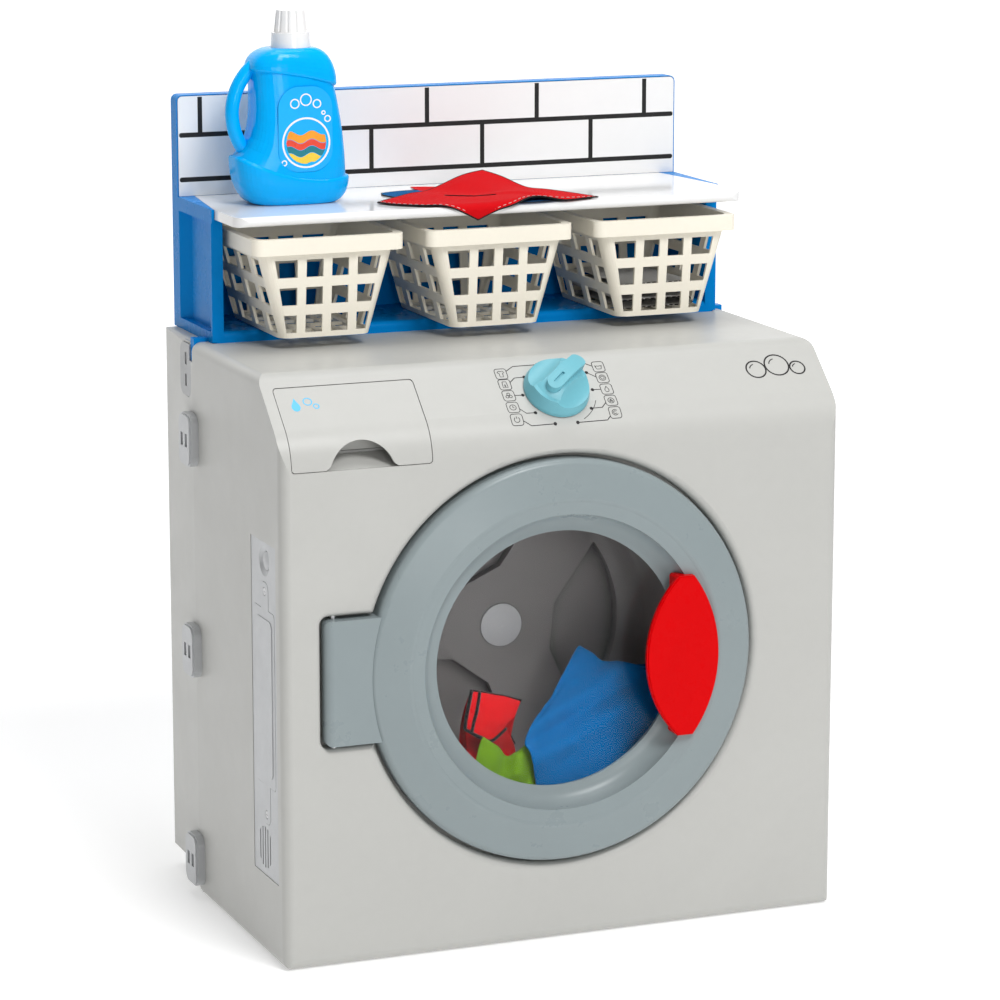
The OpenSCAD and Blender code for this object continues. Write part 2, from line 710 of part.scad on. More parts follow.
// Outlines of the joints between tiles, with round ends, grown by g
module grout_outline(g) {
    for (z = [tile_row_1, tile_row_2]) translate([0, z])
        round_rect(hutch_w - 2 * tile_rim - 2, grout_w + 2 * g, grout_w / 2 - 0.1);
    for (k = [-2:2]) translate([tile_shift + k * tile_w, (tile_row_1 + tile_top) / 2])
        square([grout_w + 2 * g, tile_top - tile_row_1 - 2], center = true);
    for (k = [-2:1]) translate([tile_shift + (k + 0.5) * tile_w, (tile_row_1 + tile_row_2) / 2])
        square([grout_w + 2 * g, tile_h], center = true);
}

module tile_panel() {
    color([0.95, 0.95, 0.95]) from_front() difference() {
        intersection() {
            along_y(body_d - splash_d - 0.5, body_d - splash_d + tile_t - 0.1) tile_outline(fit);
            bar([-hutch_w, 0, shelf_z + 0.2], [hutch_w, body_d, hutch_top]);
        }
        along_y(body_d - splash_d - eps, body_d - splash_d + 0.5) grout_outline(0);
    }
}

module tile_grout() {
    color([0.08, 0.08, 0.08]) from_front()
        along_y(body_d - splash_d - 0.3, body_d - splash_d + 0.48) intersection() {
            grout_outline(-0.02);
            translate([0, (shelf_z + tile_top) / 2]) square([hutch_w - 2 * tile_rim - 1, tile_top - shelf_z - 2], center = true);
        }
}

module shelf_board() {
    nose = shelf_t / 2;
    back_half = shelf_w / 2 - shelf_taper;
    color([0.97, 0.97, 0.97]) from_front() intersection() {
        along_x(-shelf_w / 2, shelf_w / 2) {
            translate([shelf_y0 + nose, shelf_z - shelf_t]) square([shelf_y1 - shelf_y0 - nose - 0.6, shelf_t]);
            translate([shelf_y0 + nose, shelf_z - nose]) circle(nose);
        }
        along_z(shelf_z - shelf_t - eps, shelf_z + eps) {
            translate([0, (shelf_y0 + hutch_front) / 2]) round_rect(shelf_w, hutch_front - shelf_y0, 12);
            translate([-shelf_w / 2, hutch_front - 20]) square([shelf_w, 20 - fit]);
            polygon([[-shelf_w / 2, hutch_front - fit], [shelf_w / 2, hutch_front - fit],
                [back_half, shelf_y1], [-back_half, shelf_y1]]);
        }
    }
}

// Outline of the battery door with a tongue at each end, as (depth, height), set in by g
module battery_door_outline(g) {
    translate([cover_yc, (cover_z0 + cover_z1) / 2]) round_rect(module_w - 10 - 2 * g, cover_z1 - cover_z0 - 2 * g, 4);
    for (ends = [[cover_z1 - 10, cover_z1 + tongue_up], [cover_z0 - tongue_down, cover_z0 + 10]])
        translate([button_y, (ends[0] + ends[1]) / 2]) round_rect(tongue_w - 2 * g, ends[1] - ends[0] - 2 * g, 7 - g);
}

module module_plate() {
    color([0.74, 0.75, 0.76]) from_front() difference() {
        along_x(side_x + 0.4, side_x + 0.4 + plate_t) translate([module_y0 + fit, module_z0 + fit])
            square([module_w - 2 * fit, module_h - 2 * fit]);
        along_x(side_x - eps, side_x + plate_t + 2) battery_door_outline(0);
        // dished recess for the button
        translate([side_x - 18, button_y, button_z]) sphere(r = 22, $fn = 96);
        round_x(button_y, button_z, button_r + fit, side_x - eps, side_x + plate_t + 2);
        // speaker slots
        intersection() {
            along_x(side_x - eps, side_x + plate_t + 2) for (k = [-2:2])
                translate([grille_y + k * 6, grille_z]) square([2.4, 60], center = true);
            translate([side_x, grille_y, grille_z]) rotate([0, 90, 0]) cylinder(h = 12, r = 17, center = true);
        }
    }
}

module module_box() {
    x0 = side_x + wall + 0.02;
    x1 = side_x + module_d;
    color([0.55, 0.56, 0.57]) from_front() difference() {
        bar([x0, module_y0 - 3, module_z0 - 3], [x1, module_y1 + 3, module_z1 + 3]);
        // bay of the cells, open to the outside
        bar([x0 - eps, bay_y0, bay_z0], [x1 - 1.6, bay_y1, bay_z1]);
        // room for the speaker and for the circuit board
        bar([x0 - eps, module_y0 + 5, module_z0 + 2], [x1 - 1.6, module_y1 - 5, cover_z0 - tongue_down]);
        bar([x0 - eps, module_y0 + 5, cover_z1 + tongue_up + 3], [x1 - 1.6, module_y1 - 5, module_z1 - 2]);
        for (z = cover_screw_zs) round_x(button_y, z, 1.2, x0 - eps, x1 - 4);
    }
}

module battery_door() {
    color([0.76, 0.77, 0.78]) from_front() difference() {
        union() {
            along_x(side_x + 0.2, side_x + 0.2 + door_t) battery_door_outline(fit);
            along_x(side_x - 0.4, side_x + 1) translate([cover_yc, (cover_z0 + cover_z1) / 2])
                round_rect(module_w - 22, cover_z1 - cover_z0 - 16, 6);
        }
        for (z = cover_screw_zs) {
            round_x(button_y, z, 1.7, side_x - eps, side_x + 5);
            round_x(button_y, z, 3.6, side_x - eps, side_x + 1.2);
        }
    }
}

module battery_door_screws() {
    color([0.62, 0.62, 0.64]) from_front() for (z = cover_screw_zs) difference() {
        union() {
            round_x(button_y, z, 1.15, side_x + 1.2, side_x + 12);
            round_x(button_y, z, 3, side_x + 0.3, side_x + 1.2);
        }
        for (q = [0, 90]) translate([side_x + 0.3, button_y, z]) rotate([q, 0, 0]) cube([0.9, 4, 0.7], center = true);
    }
}

// Places the children at the lower end of each of the two columns of cells
module at_columns() { for (s = [-1, 1]) translate([cell_x, cover_yc + s * (cell_d / 2 + 0.5), bay_z0]) children(); }

module battery_cells() {
    color([0.25, 0.45, 0.30]) from_front() at_columns() for (k = [0:1]) translate([0, 0, 4 + k * cell_l]) {
        cylinder(h = cell_l - 1.2, r = cell_d / 2);
        cylinder(h = cell_l - 0.1, r = cell_d / 6);
    }
}

module battery_contacts() {
    color([0.80, 0.78, 0.70]) from_front() at_columns() {
        translate([-6, -6, 0.02]) cube([12, 12, 0.5]);
        translate([0, 0, 0.5]) cylinder(h = 3.2, r1 = 4, r2 = 2.6);
        translate([-6, -6, bay_l - 0.52]) cube([12, 12, 0.5]);
        translate([0, 0, bay_l - 2.8]) cylinder(h = 2.4, r1 = 3, r2 = 4);
    }
}

board_x = side_x + module_d - 4;

module circuit_board() {
    z0 = cover_z1 + tongue_up + 5;
    color([0.10, 0.40, 0.20]) from_front() {
        bar([board_x, module_y0 + 7, z0], [board_x + 1.6, module_y1 - 7, module_z1 - 4]);
        bar([board_x - 2, module_y0 + 9, z0 + 2], [board_x + 0.1, module_y0 + 17, z0 + 8]);
    }
}

module button_switch() {
    color([0.15, 0.15, 0.15]) from_front() difference() {
        bar([side_x + 8.4, button_y - 5, button_z - 5], [board_x - 0.02, button_y + 5, button_z + 5]);
        round_x(button_y, button_z, 2.4, side_x + 8, side_x + 12);
    }
}

module power_button() {
    color([0.72, 0.73, 0.74]) from_front() {
        intersection() {
            round_x(button_y, button_z, button_r, side_x, side_x + plate_t + 3);
            translate([side_x + 0.8 + 20, button_y, button_z]) sphere(r = 20, $fn = 96);
        }
        round_x(button_y, button_z, button_r + 1.5, side_x + plate_t + 0.7, side_x + plate_t + 2);
        round_x(button_y, button_z, 2, side_x + plate_t + 1, side_x + 9);
    }
}

module speaker() {
    color([0.20, 0.20, 0.21]) from_front() difference() {
        union() {
            round_x(grille_y, grille_z, 18, side_x + plate_t + 0.42, side_x + plate_t + 4);
            translate([side_x + plate_t + 3.9, grille_y, grille_z]) rotate([0, 90, 0]) cylinder(h = 5, r1 = 17, r2 = 10);
            round_x(grille_y, grille_z, 9, side_x + plate_t + 8.8, side_x + module_d - 1.7);
        }
        translate([side_x + plate_t + 0.3, grille_y, grille_z]) rotate([0, 90, 0]) cylinder(h = 5, r1 = 15, r2 = 6);
    }
}

// Two insulated leads inside the cabinet: to the dial's switch and down to the speaker
module wiring() {
    wire_r = 1.2;
    x1 = side_x + module_d;
    dial_in = [dial_x, dial_c[0] + (switch_t + wall + 3) * sin(slope), dial_c[1] - (switch_t + wall + 3) * cos(slope)];
    dial_lead = [[x1 + wire_r, 50, module_z1 - 20], [x1 + 8, 52, module_z1 - 16], [x1 + 14, 56, module_z1 + 10],
        [x1 + 24, 62, drawer_z0 - 12], [x1 + 60, 70, drawer_z0 - 10], [drawer_x1 + 8, 74, drawer_z0 - 12],
        [dial_x - 40, 66, dial_in[2] - 30], [dial_x - 10, dial_in[1] + 6, dial_in[2] - 12], [dial_x, dial_in[1] + 2, dial_in[2] - 4], dial_in];
    speaker_lead = [[x1 + wire_r, 44, module_z1 - 30], [x1 + 6, 46, module_z1 - 36], [x1 + 9, 50, bay_z1 - 20],
        [x1 + 9, 50, bay_z0 + 20], [x1 + 6, 48, grille_z + 14], [x1 + wire_r, 46, grille_z + 8]];
    color([0.75, 0.10, 0.10]) from_front() {
        tube(dial_lead, wire_r, 8);
        tube(speaker_lead, wire_r, 8);
    }
}

// Cross-section of the door ring without its hollow back, as (radius, depth)
module ring_section() {
    outer_c = [ring_r - ring_edge_r, -edge_front + ring_edge_r];
    ridge_c = [ridge_r, -ridge_proud + ridge_edge_r];
    back = back_y + back_t;
    difference() {
        union() {
            polygon([[window_r, back_y], [window_r, bowl_c[1] + 3], [bowl_edge, bowl_c[1] + 1], ridge_c + [-3, -4], ridge_c + [0, -ridge_edge_r],
                ridge_c + [1, -4.9], outer_c + [1, -5.9], outer_c + [ring_edge_r, 0], [ring_r, back]]);
            translate(outer_c) circle(ring_edge_r);
            translate(ridge_c) circle(ridge_edge_r);
            translate([window_r, back_y - 2]) square([ring_r - window_r, back - back_y + 2]);
        }
        translate(bowl_c) circle(bowl_r, $fn = 96);
    }
}

module door_ring() {
    back = back_y + back_t;
    color([0.56, 0.62, 0.64]) from_front() difference() {
        union() {
            around_door() difference() {
                ring_section();
                // seat of the window, and the hollow behind the ring's skin
                translate([0, glass_y]) square([seat_r + fit, back]);
                translate([0, back_y]) square([ring_r - ring_skin, back]);
                polygon([[land_r, back + eps], [land_r, -edge_front + 1.5], [ridge_r, -ridge_proud + ring_skin + 0.6],
                    [ring_r - 7, -edge_front + ring_skin], [ring_r - ring_skin, 2], [ring_r - ring_skin, back + eps]]);
            }
            // bosses for the screws of the back ring
            for (k = [0:door_screws_n - 1]) {
                a = 30 + k * 360 / door_screws_n;
                round_y(door_x + door_screw_r * cos(a), door_z + door_screw_r * sin(a), 4, -edge_front, back_y);
            }
            // hinge tab
            difference() {
                intersection() {
                    along_z(tab_z - tab_h / 2, tab_z + tab_h / 2) {
                        translate([tab_x0 + 7, tab_front + 7]) circle(7);
                        translate([tab_x0 + 6, tab_back - 6]) circle(6);
                        polygon([[tab_x0, tab_front + 7], [tab_x0 + 7, tab_front], [door_x - 140, tab_front],
                            [door_x - 140, tab_back], [tab_x0 + 6, tab_back], [tab_x0, tab_back - 6]]);
                    }
                    along_y(tab_front - eps, tab_back + eps) translate([tab_x0 + 50, tab_z]) round_rect(100, tab_h, 5);
                }
                around_door() translate([0, -20]) square([ring_r - 1.5, 60]);
                // hollow in the back of the tab, clear of the pin's barrel
                bar([hinge_x + 8, tab_front + ring_skin, tab_z - tab_h / 2 + ring_skin],
                    [door_x - ring_r + 3, tab_back + eps, tab_z + tab_h / 2 - ring_skin]);
            }
        }
        translate([hinge_x, hinge_y, tab_z - tab_h]) cylinder(h = 2 * tab_h, r = pin_r + run_gap);
        for (k = [0:door_screws_n - 1]) {
            a = 30 + k * 360 / door_screws_n;
            round_y(door_x + door_screw_r * cos(a), door_z + door_screw_r * sin(a), 1.1, 0, back_y + eps);
        }
    }
}

module door_window() {
    color([0.85, 0.90, 0.92, 0.4]) from_front() around_door() translate([0, glass_y]) square([seat_r, window_t]);
}

module door_back() {
    color([0.50, 0.55, 0.57]) from_front() difference() {
        around_door() translate([window_r + 1, back_y]) square([ring_r - ring_skin - fit - window_r - 1, back_t]);
        for (k = [0:door_screws_n - 1]) {
            a = 30 + k * 360 / door_screws_n;
            round_y(door_x + door_screw_r * cos(a), door_z + door_screw_r * sin(a), 1.5, back_y - eps, back_y + back_t + eps);
        }
    }
}

module door_screws() {
    color([0.62, 0.62, 0.64]) from_front() for (k = [0:door_screws_n - 1]) {
        a = 30 + k * 360 / door_screws_n;
        x = door_x + door_screw_r * cos(a);
        z = door_z + door_screw_r * sin(a);
        round_y(x, z, 1.05, 3, back_y + back_t + 0.5);
        round_y(x, z, 2.8, back_y + back_t, back_y + back_t + 1.4);
    }
}

// Outline of the handle seen from the front, set in by g
module handle_outline(g) {
    intersection() {
        translate([handle_x1 - handle_right_r, handle_z]) circle(handle_right_r - g, $fn = 144);
        translate([handle_x1 - handle_w + handle_left_r, handle_z]) circle(handle_left_r - g, $fn = 144);
        translate([handle_x1 - handle_w / 2, handle_z]) square([handle_w, handle_h - 2 * g], center = true);
    }
}

module door_handle() {
    leg = [17, 12];
    leg_x = handle_x1 - handle_w / 2 + 3;
    color([0.84, 0.02, 0.06]) from_front() {
        along_y(handle_front + 1, handle_back) handle_outline(0);
        along_y(handle_front, handle_back) handle_outline(1.2);
        // legs that curl back into the bowl of the ring
        difference() {
            for (s = [-1, 1]) along_y(handle_back - 1, 0) intersection() {
                handle_outline(0);
                translate([leg_x, handle_z + s * (handle_h / 2 - leg[1] / 2)]) square(leg, center = true);
            }
            translate([0, -1.5 * fit, 0]) around_door() ring_section();
        }
    }
}

module door_latch() {
    x = door_x + latch_r;
    y = back_y + back_t;
    color([0.50, 0.55, 0.57]) from_front() {
        bar([x - 7, y + 0.02, door_z - latch_h / 2], [x + 7, y + 1.8, door_z + latch_h / 2]);
        along_z(door_z - latch_h / 2, door_z + latch_h / 2)
            polygon([[x - 2, y + 1], [x - 2, y + 15], [x - 1, y + 16], [x + 2, y + 13.5], [x + 3.5, y + 11], [x + 2, y + 8], [x + 2, y + 1]]);
    }
}

module door_catch() {
    x = door_x + latch_r;
    y = pocket_d + wall;
    h = latch_h + 4;
    color([0.30, 0.30, 0.32]) from_front() difference() {
        bar([x - 14, y + 0.02, door_z - h / 2 - 3], [x + 14, y + 16, door_z + h / 2 + 3]);
        bar([x - 8, y - eps, door_z - h / 2], [x + 8, y + 13, door_z + h / 2]);
    }
}

module hinge_pin() {
    color([0.70, 0.70, 0.72]) from_front() translate([hinge_x, hinge_y, tab_z - pin_len / 2]) cylinder(h = pin_len, r = pin_r);
}

// Outline of one recess in the drum's back, from the axis to the right, grown by g
module wedge_outline(g) {
    half = (wedge_r0 * sin(60) - arm_w / 2) / cos(60);
    run = wedge_r1;
    intersection() {
        polygon([[wedge_r0 - g, half + g * tan(15)], [wedge_r0 - g, -half - g * tan(15)],
            [wedge_r0 + run * cos(60), -half - run * sin(60) - g / cos(60)],
            [wedge_r0 + run, -half - run * sin(60)], [wedge_r0 + run, half + run * sin(60)],
            [wedge_r0 + run * cos(60), half + run * sin(60) + g / cos(60)]]);
        circle(wedge_r1 + g, $fn = 96);
    }
}

module drum_pan() {
    c = [drum_r - drum_corner, drum_back - drum_corner];
    color([0.46, 0.44, 0.44]) from_front() difference() {
        union() {
            around_door() difference() {
                union() {
                    translate([0, drum_front]) square([drum_r + drum_t, c[1] - drum_front]);
                    translate([0, c[1]]) square([c[0], drum_back + drum_t - c[1]]);
                    translate(c) circle(drum_corner + drum_t, $fn = 96);
                }
                translate([0, drum_front - eps]) square([drum_r, c[1] - drum_front + eps]);
                translate([0, c[1] - eps]) square([c[0], drum_corner + eps]);
                translate(c) circle(drum_corner, $fn = 96);
            }
            translate([door_x, drum_back + wedge_d + drum_t, door_z]) rotate([90, drum_turn, 0])
                linear_extrude(wedge_d + 0.5) for (a = [0, 120, 240]) rotate(a) wedge_outline(drum_t);
            round_y(door_x, door_z, hub_boss_r, drum_back, hub_boss_y);
        }
        translate([door_x, drum_back + wedge_d, door_z]) rotate([90, drum_turn, 0])
            linear_extrude(wedge_d + eps) for (a = [0, 120, 240]) rotate(a) wedge_outline(0);
        round_y(door_x, door_z, axle_d / 2 + run_gap, drum_back - eps, hub_boss_y + eps);
        round_y(door_x, door_z, hub_d / 2 - 3 + fit, drum_back - eps, drum_back + 1.4);
    }
}

module hub_cap() {
    color([0.62, 0.61, 0.63]) from_front() {
        around_door() intersection() {
            translate([0, drum_back - 5]) square([hub_d / 2, 4.9]);
            translate([0, drum_back + 71.5]) circle(75, $fn = 144);
        }
        round_y(door_x, door_z, hub_d / 2 - 3, drum_back - 1, drum_back + 1.2);
    }
}

module drum_axle() {
    color([0.66, 0.66, 0.68]) from_front() {
        round_y(door_x, door_z, axle_d / 2, drum_back + 1.5, axle_end);
    }
}

module axle_nut() {
    color([0.60, 0.60, 0.62]) from_front() difference() {
        round_y(door_x, door_z, axle_d / 2 + 3.5, axle_end - 9, axle_end - 3);
        round_y(door_x, door_z, axle_d / 2 + run_gap, axle_end - 10, axle_end);
    }
}

module drum_carrier() {
    arm = 22;
    color([0.70, 0.70, 0.69]) from_front() difference() {
        union() {
            for (a = post_angles) translate([door_x, carrier_y, door_z]) rotate([0, -a, 0])
                bar([0, 0.02, -arm / 2], [post_ring, carrier_t, arm / 2]);
            at_posts() round_y(0, 0, arm / 2 + 1, carrier_y + 0.02, carrier_y + carrier_t + seat_t);
            // stiffening rib along each arm
            for (a = post_angles) translate([door_x, carrier_y, door_z]) rotate([0, -a, 0])
                bar([10, 1, -1.5], [post_ring - 14, carrier_t + 8, 1.5]);
            round_y(door_x, door_z, bush_r + 5, carrier_y + 0.02, carrier_y + bush_len - 4);
        }
        round_y(door_x, door_z, bush_r + run_gap, carrier_y - eps, carrier_y + bush_len);
        at_posts() round_y(0, 0, screw_r + 0.2, carrier_y - eps, carrier_y + carrier_t + seat_t + eps);
    }
}

module drum_bush() {
    color([0.90, 0.88, 0.80]) from_front() difference() {
        union() {
            round_y(door_x, door_z, bush_r, carrier_y - 1, carrier_y + bush_len);
            round_y(door_x, door_z, bush_r + 3, carrier_y - 2.5, carrier_y);
        }
        round_y(door_x, door_z, axle_d / 2 + run_gap, carrier_y - 3, carrier_y + bush_len + eps);
    }
}

module carrier_screws() {
    color([0.60, 0.60, 0.62]) from_front() at_posts() {
        round_y(0, 0, screw_r * 0.78, carrier_y - 12, carrier_y + carrier_t + seat_t + 1);
        round_y(0, 0, head_r, carrier_y + carrier_t + seat_t, carrier_y + carrier_t + seat_t + 2.4);
    }
}

module drawer_front() {
    cheek = 2;
    color([0.83, 0.83, 0.81]) from_front() difference() {
        union() {
            // skin that carries the cabinet's own curve across the drawer
            intersection() {
                difference() {
                    cabinet_form(0.2, front_d);
                    cabinet_form(wall + 0.2, front_d + eps);
                }
                along_y(-eps, panel_d) drawer_outline(drawer_gap);
            }
            // cheeks that carry the tray
            intersection() {
                cabinet_form(0.2, front_d);
                along_y(-eps, tray_y0 + 12) drawer_outline(drawer_gap);
                for (x = [drawer_x0 + drawer_gap, drawer_x1 - drawer_gap - cheek])
                    along_x(x, x + cheek) translate([2, drawer_z0 + sill_rise + 2]) square([tray_y0 + 8, 60]);
            }
            // inner wall that the tray is fixed to
            intersection() {
                cabinet_form(wall, front_d);
                bar([drawer_x0 + drawer_gap, tray_y0 - 2.5, tray_z0], [drawer_x1 - drawer_gap, tray_y0 - 0.02, tray_z1 + 1]);
            }
        }
        along_y(-eps, tray_y0 - 4) arch_outline();
    }
}

module drawer_tray() {
    color([0.88, 0.88, 0.86]) from_front() difference() {
        bar([tray_x0, tray_y0, tray_z0], [tray_x1, tray_y1, tray_z1]);
        bar([tray_x0 + tray_wall, tray_y0 + tray_wall, tray_z0 + tray_wall],
            [tray_x0 + (tray_x1 - tray_x0) * 0.6, tray_y1 - tray_wall, tray_z1 + eps]);
        bar([tray_x0 + (tray_x1 - tray_x0) * 0.6 + tray_wall, tray_y0 + tray_wall, tray_z0 + tray_wall],
            [tray_x1 - tray_wall, tray_y1 - tray_wall, tray_z1 + eps]);
    }
}

module drawer_guide() {
    floor_z = tray_z0 - fit;
    color([0.72, 0.72, 0.70]) from_front() intersection() {
        cabinet_form(wall + 0.02, front_d + eps);
        difference() {
            bar([tray_x0 - 2 - guide_t, sill_d + 0.02, floor_z - guide_t], [tray_x1 + 2 + guide_t, tray_y1 + 14, tray_z1 + 8]);
            bar([tray_x0 - 2, -eps, floor_z], [tray_x1 + 2, tray_y1 + 12, tray_z1 + 10]);
            bar([tray_x0 - 10, -eps, floor_z - 10], [tray_x1 + 10, sill_d + 16, floor_z + 100]);
        }
    }
    color([0.72, 0.72, 0.70]) from_front() bar([tray_x0, sill_d + 0.02, floor_z - guide_t], [tray_x1, sill_d + 17, floor_z]);
}

module dial_knob() {
    scoop_r = 16;
    tip = dial_d / 2 + 3;
    heel = 11;
    color([0.50, 0.80, 0.83]) from_front() at_dial() rotate([0, 0, grip_turn]) difference() {
        union() {
            translate([0, 0, fit]) cylinder(h = 3, r = dial_d / 2, $fn = 96);
            translate([0, 0, fit + 2.9]) cylinder(h = dial_h - 3, r1 = dial_d / 2, r2 = dial_d / 2 - 3, $fn = 96);
            // grip bar, from the lower side of the dial out past the rim
            intersection() {
                union() {
                    translate([-heel, -grip_w / 2, 4]) cube([tip - grip_w / 2 + heel, grip_w, grip_h]);
                    translate([tip - grip_w / 2, 0, 4]) cylinder(h = grip_h, r = grip_w / 2);
                    translate([-heel, 0, 4]) cylinder(h = grip_h, r = grip_w / 2);
                }
                translate([0, 0, -78 + grip_h]) rotate([90, 0, 0]) cylinder(h = 60, r = 78, center = true, $fn = 144);
            }
            // the dial swells up on both sides of the bar
            intersection() {
                translate([0, 0, dial_h - 42]) sphere(r = 47, $fn = 96);
                translate([0, 0, fit + 2]) cylinder(h = 30, r = dial_d / 2 - 3, $fn = 96);
            }
        }
        for (s = [-1, 1]) translate([8, s * (grip_w / 2 + scoop_r), grip_h + 2]) rotate([0, 90, 0])
            cylinder(h = 72, r = scoop_r, center = true, $fn = 72);
        translate([-12, -1.2, grip_h - 1.8]) cube([13, 2.4, 3]);
        translate([0, 0, -eps]) cylinder(h = 9 + eps, r = spindle_r + 0.1);
    }
}

module dial_spindle() {
    color([0.85, 0.85, 0.82]) from_front() at_dial() {
        translate([0, 0, -wall - switch_t + 3]) cylinder(h = switch_t + wall + 5.9, r = spindle_r);
    }
}

module dial_switch() {
    color([0.25, 0.25, 0.27]) from_front() at_dial() translate([0, 0, -wall - switch_t]) difference() {
        union() {
            translate([-13, -13, 0]) cube([26, 26, switch_t - 0.1]);
            translate([0, 0, -2]) cylinder(h = 4, r = 9);
        }
        translate([0, 0, 2]) cylinder(h = switch_t, r = spindle_r + run_gap);
    }
}

// Half sizes of a basket at a height above its base: [across, along]
function basket_half(z) = [base_w / 2, base_l / 2] + ([rim_w / 2 - rim_out, rim_l / 2 - rim_out] - [base_w / 2, base_l / 2]) * z / basket_h;

// A basket's tapered form, set in by i, from one height to another
module basket_form(i, z0, z1) {
    hull() for (z = [z0, z1]) translate([0, 0, z == z0 ? z : z - 0.5]) linear_extrude(0.5)
        round_rect(2 * (basket_half(z)[0] - i), 2 * (basket_half(z)[1] - i), 10 - i, $fn = 32);
}

// Windows of one wall, as (across, height): upright bars between them, and outer edges that lean with the wall
module basket_windows(axis, span, bar_w) {
    low = 4.3;
    high = basket_h - rim_h - 5;
    gap = 8.2;
    row = (high - low - (window_rows - 1) * gap) / window_rows;
    pitch = span * 1.12 / window_cols;
    function edge(z) = basket_half(z)[axis] - 6 - 4.6 * z / high;
    for (k = [0:window_rows - 1], c = [0:window_cols - 1]) {
        z0 = low + k * (row + gap);
        z1 = z0 + row;
        a = (c - window_cols / 2) * pitch + bar_w / 2;
        b = a + pitch - bar_w;
        polygon([[c == 0 ? -edge(z0) : a, z0], [c == window_cols - 1 ? edge(z0) : b, z0],
            [c == window_cols - 1 ? edge(z1) : b, z1], [c == 0 ? -edge(z1) : a, z1]]);
    }
}

module basket() {
    floor_t = 2.6;
    difference() {
        union() {
            basket_form(0, 0, basket_h - 2);
            along_z(basket_h - rim_h, basket_h) round_rect(rim_w, rim_l, rim_corner);
        }
        basket_form(basket_wall, floor_t, basket_h + 1);
        // hollow under the rim band, outside the wall
        difference() {
            along_z(basket_h - rim_h - eps, basket_h - 2) round_rect(rim_w - 4, rim_l - 4, rim_corner - 2);
            basket_form(0, 0, basket_h - 1);
        }
        along_y(-rim_l, rim_l) basket_windows(0, base_w, 7.5);
        along_x(-rim_w, rim_w) basket_windows(1, base_l, 9);
        for (i = [-1.5:1.5], j = [-2:2]) translate([i * base_w / 4.6, j * base_l / 5.6, 0])
            cube([base_w / 4.6 - 5, base_l / 5.6 - 5, 3 * floor_t], center = true);
    }
}

module place_basket(k) {
    color([0.95, 0.92, 0.86]) from_front() translate([basket_x + k * basket_step, basket_yc, basket_z0]) basket();
}

module basket_left() { place_basket(-1); }
module basket_middle() { place_basket(0); }
module basket_right() { place_basket(1); }

// Cloth folded in three layers inside the right basket
module basket_cloth() {
    layer = 7.5;
    fold_w = base_w - 12;
    color([0.93, 0.92, 0.90]) from_front()
        translate([basket_x + basket_step, basket_yc, basket_z0 + 2.6 + fit]) along_y(-base_l * 0.42, base_l * 0.42)
        for (k = [0:2]) translate([k == 1 ? -1.5 : 0, layer * (k + 0.5) - k * 0.3]) round_rect(fold_w - 3, layer, layer / 2 - 0.01);
}

// One ring of the bottle between a left and a right edge, each (across, height), with its half depth
function bottle_ring(left, right, deep, sag) = [for (j = [0:47])
    let (q = 7.5 * j, c = cos(q), s = sin(q), p = 0.62, u = sign(c) * pow(abs(c), p), share = (u + 1) / 2)
    [left[0] + (right[0] - left[0]) * share, deep * sign(s) * pow(abs(s), p),
        left[1] + (right[1] - left[1]) * share - sag * (1 - u * u)]];
foot_lip = [[-54, 38], [44.5, 20]] * bottle_h / 127;
shoulder_lip = [[-39.5, 111], [34.5, 97]] * bottle_h / 127;
neck = [[-18, 127], [14, 127]] * bottle_h / 127;
neck_x = (neck[0][0] + neck[1][0]) / 2;
base_edge = [[-35, 0], [30, 0]] * bottle_h / 127;
bottle_half = bottle_t / 2;
bottle_y = hutch_front + bottle_back;
handle_c = [-3.5, 74] * bottle_h / 127;
label_c = [1.5, 62] * bottle_h / 127;
label_y = -bottle_half * 0.9;

// Bowl-shaped foot, from the base up to its slanted lip
function foot_ring(t) = let (go = sin(90 * t), up = 1 - cos(90 * t))
    bottle_ring([base_edge[0][0] + (foot_lip[0][0] - base_edge[0][0]) * go, foot_lip[0][1] * up],
        [base_edge[1][0] + (foot_lip[1][0] - base_edge[1][0]) * go, foot_lip[1][1] * up],
        bottle_half * (0.8 + 0.2 * go), 9 * up);
// Waist beside the handle, from one lip to the other
function waist_ring(t) = let (low = [foot_lip[0] + [4, 2.5], foot_lip[1] + [-3, 2.5]],
        high = [shoulder_lip[0] + [2.4, -2.5], shoulder_lip[1] + [-2, -2.5]], mid_left = -36.4)
    bottle_ring([mid_left + (low[0][0] - mid_left) * pow(1 - t, 5) + (high[0][0] - mid_left) * pow(t, 5), low[0][1] + (high[0][1] - low[0][1]) * t],
        low[1] + [(high[1][0] - low[1][0]) * pow(t, 1.8), (high[1][1] - low[1][1]) * t],
        bottle_half * (0.95 - 0.11 * pow(t, 2)), 9 * (1 - t) - 3 * t);
// Domed shoulder, from its lip up to the neck
function dome_ring(t) = let (in = 1 - cos(90 * t), up = sin(90 * t))
    bottle_ring([shoulder_lip[0][0] + (neck[0][0] - shoulder_lip[0][0]) * in, shoulder_lip[0][1] + (neck[0][1] - shoulder_lip[0][1]) * up],
        [shoulder_lip[1][0] + (neck[1][0] - shoulder_lip[1][0]) * in, shoulder_lip[1][1] + (neck[1][1] - shoulder_lip[1][1]) * up],
        bottle_half * 0.9 + (16 - bottle_half * 0.9) * in, -3 * (1 - up));

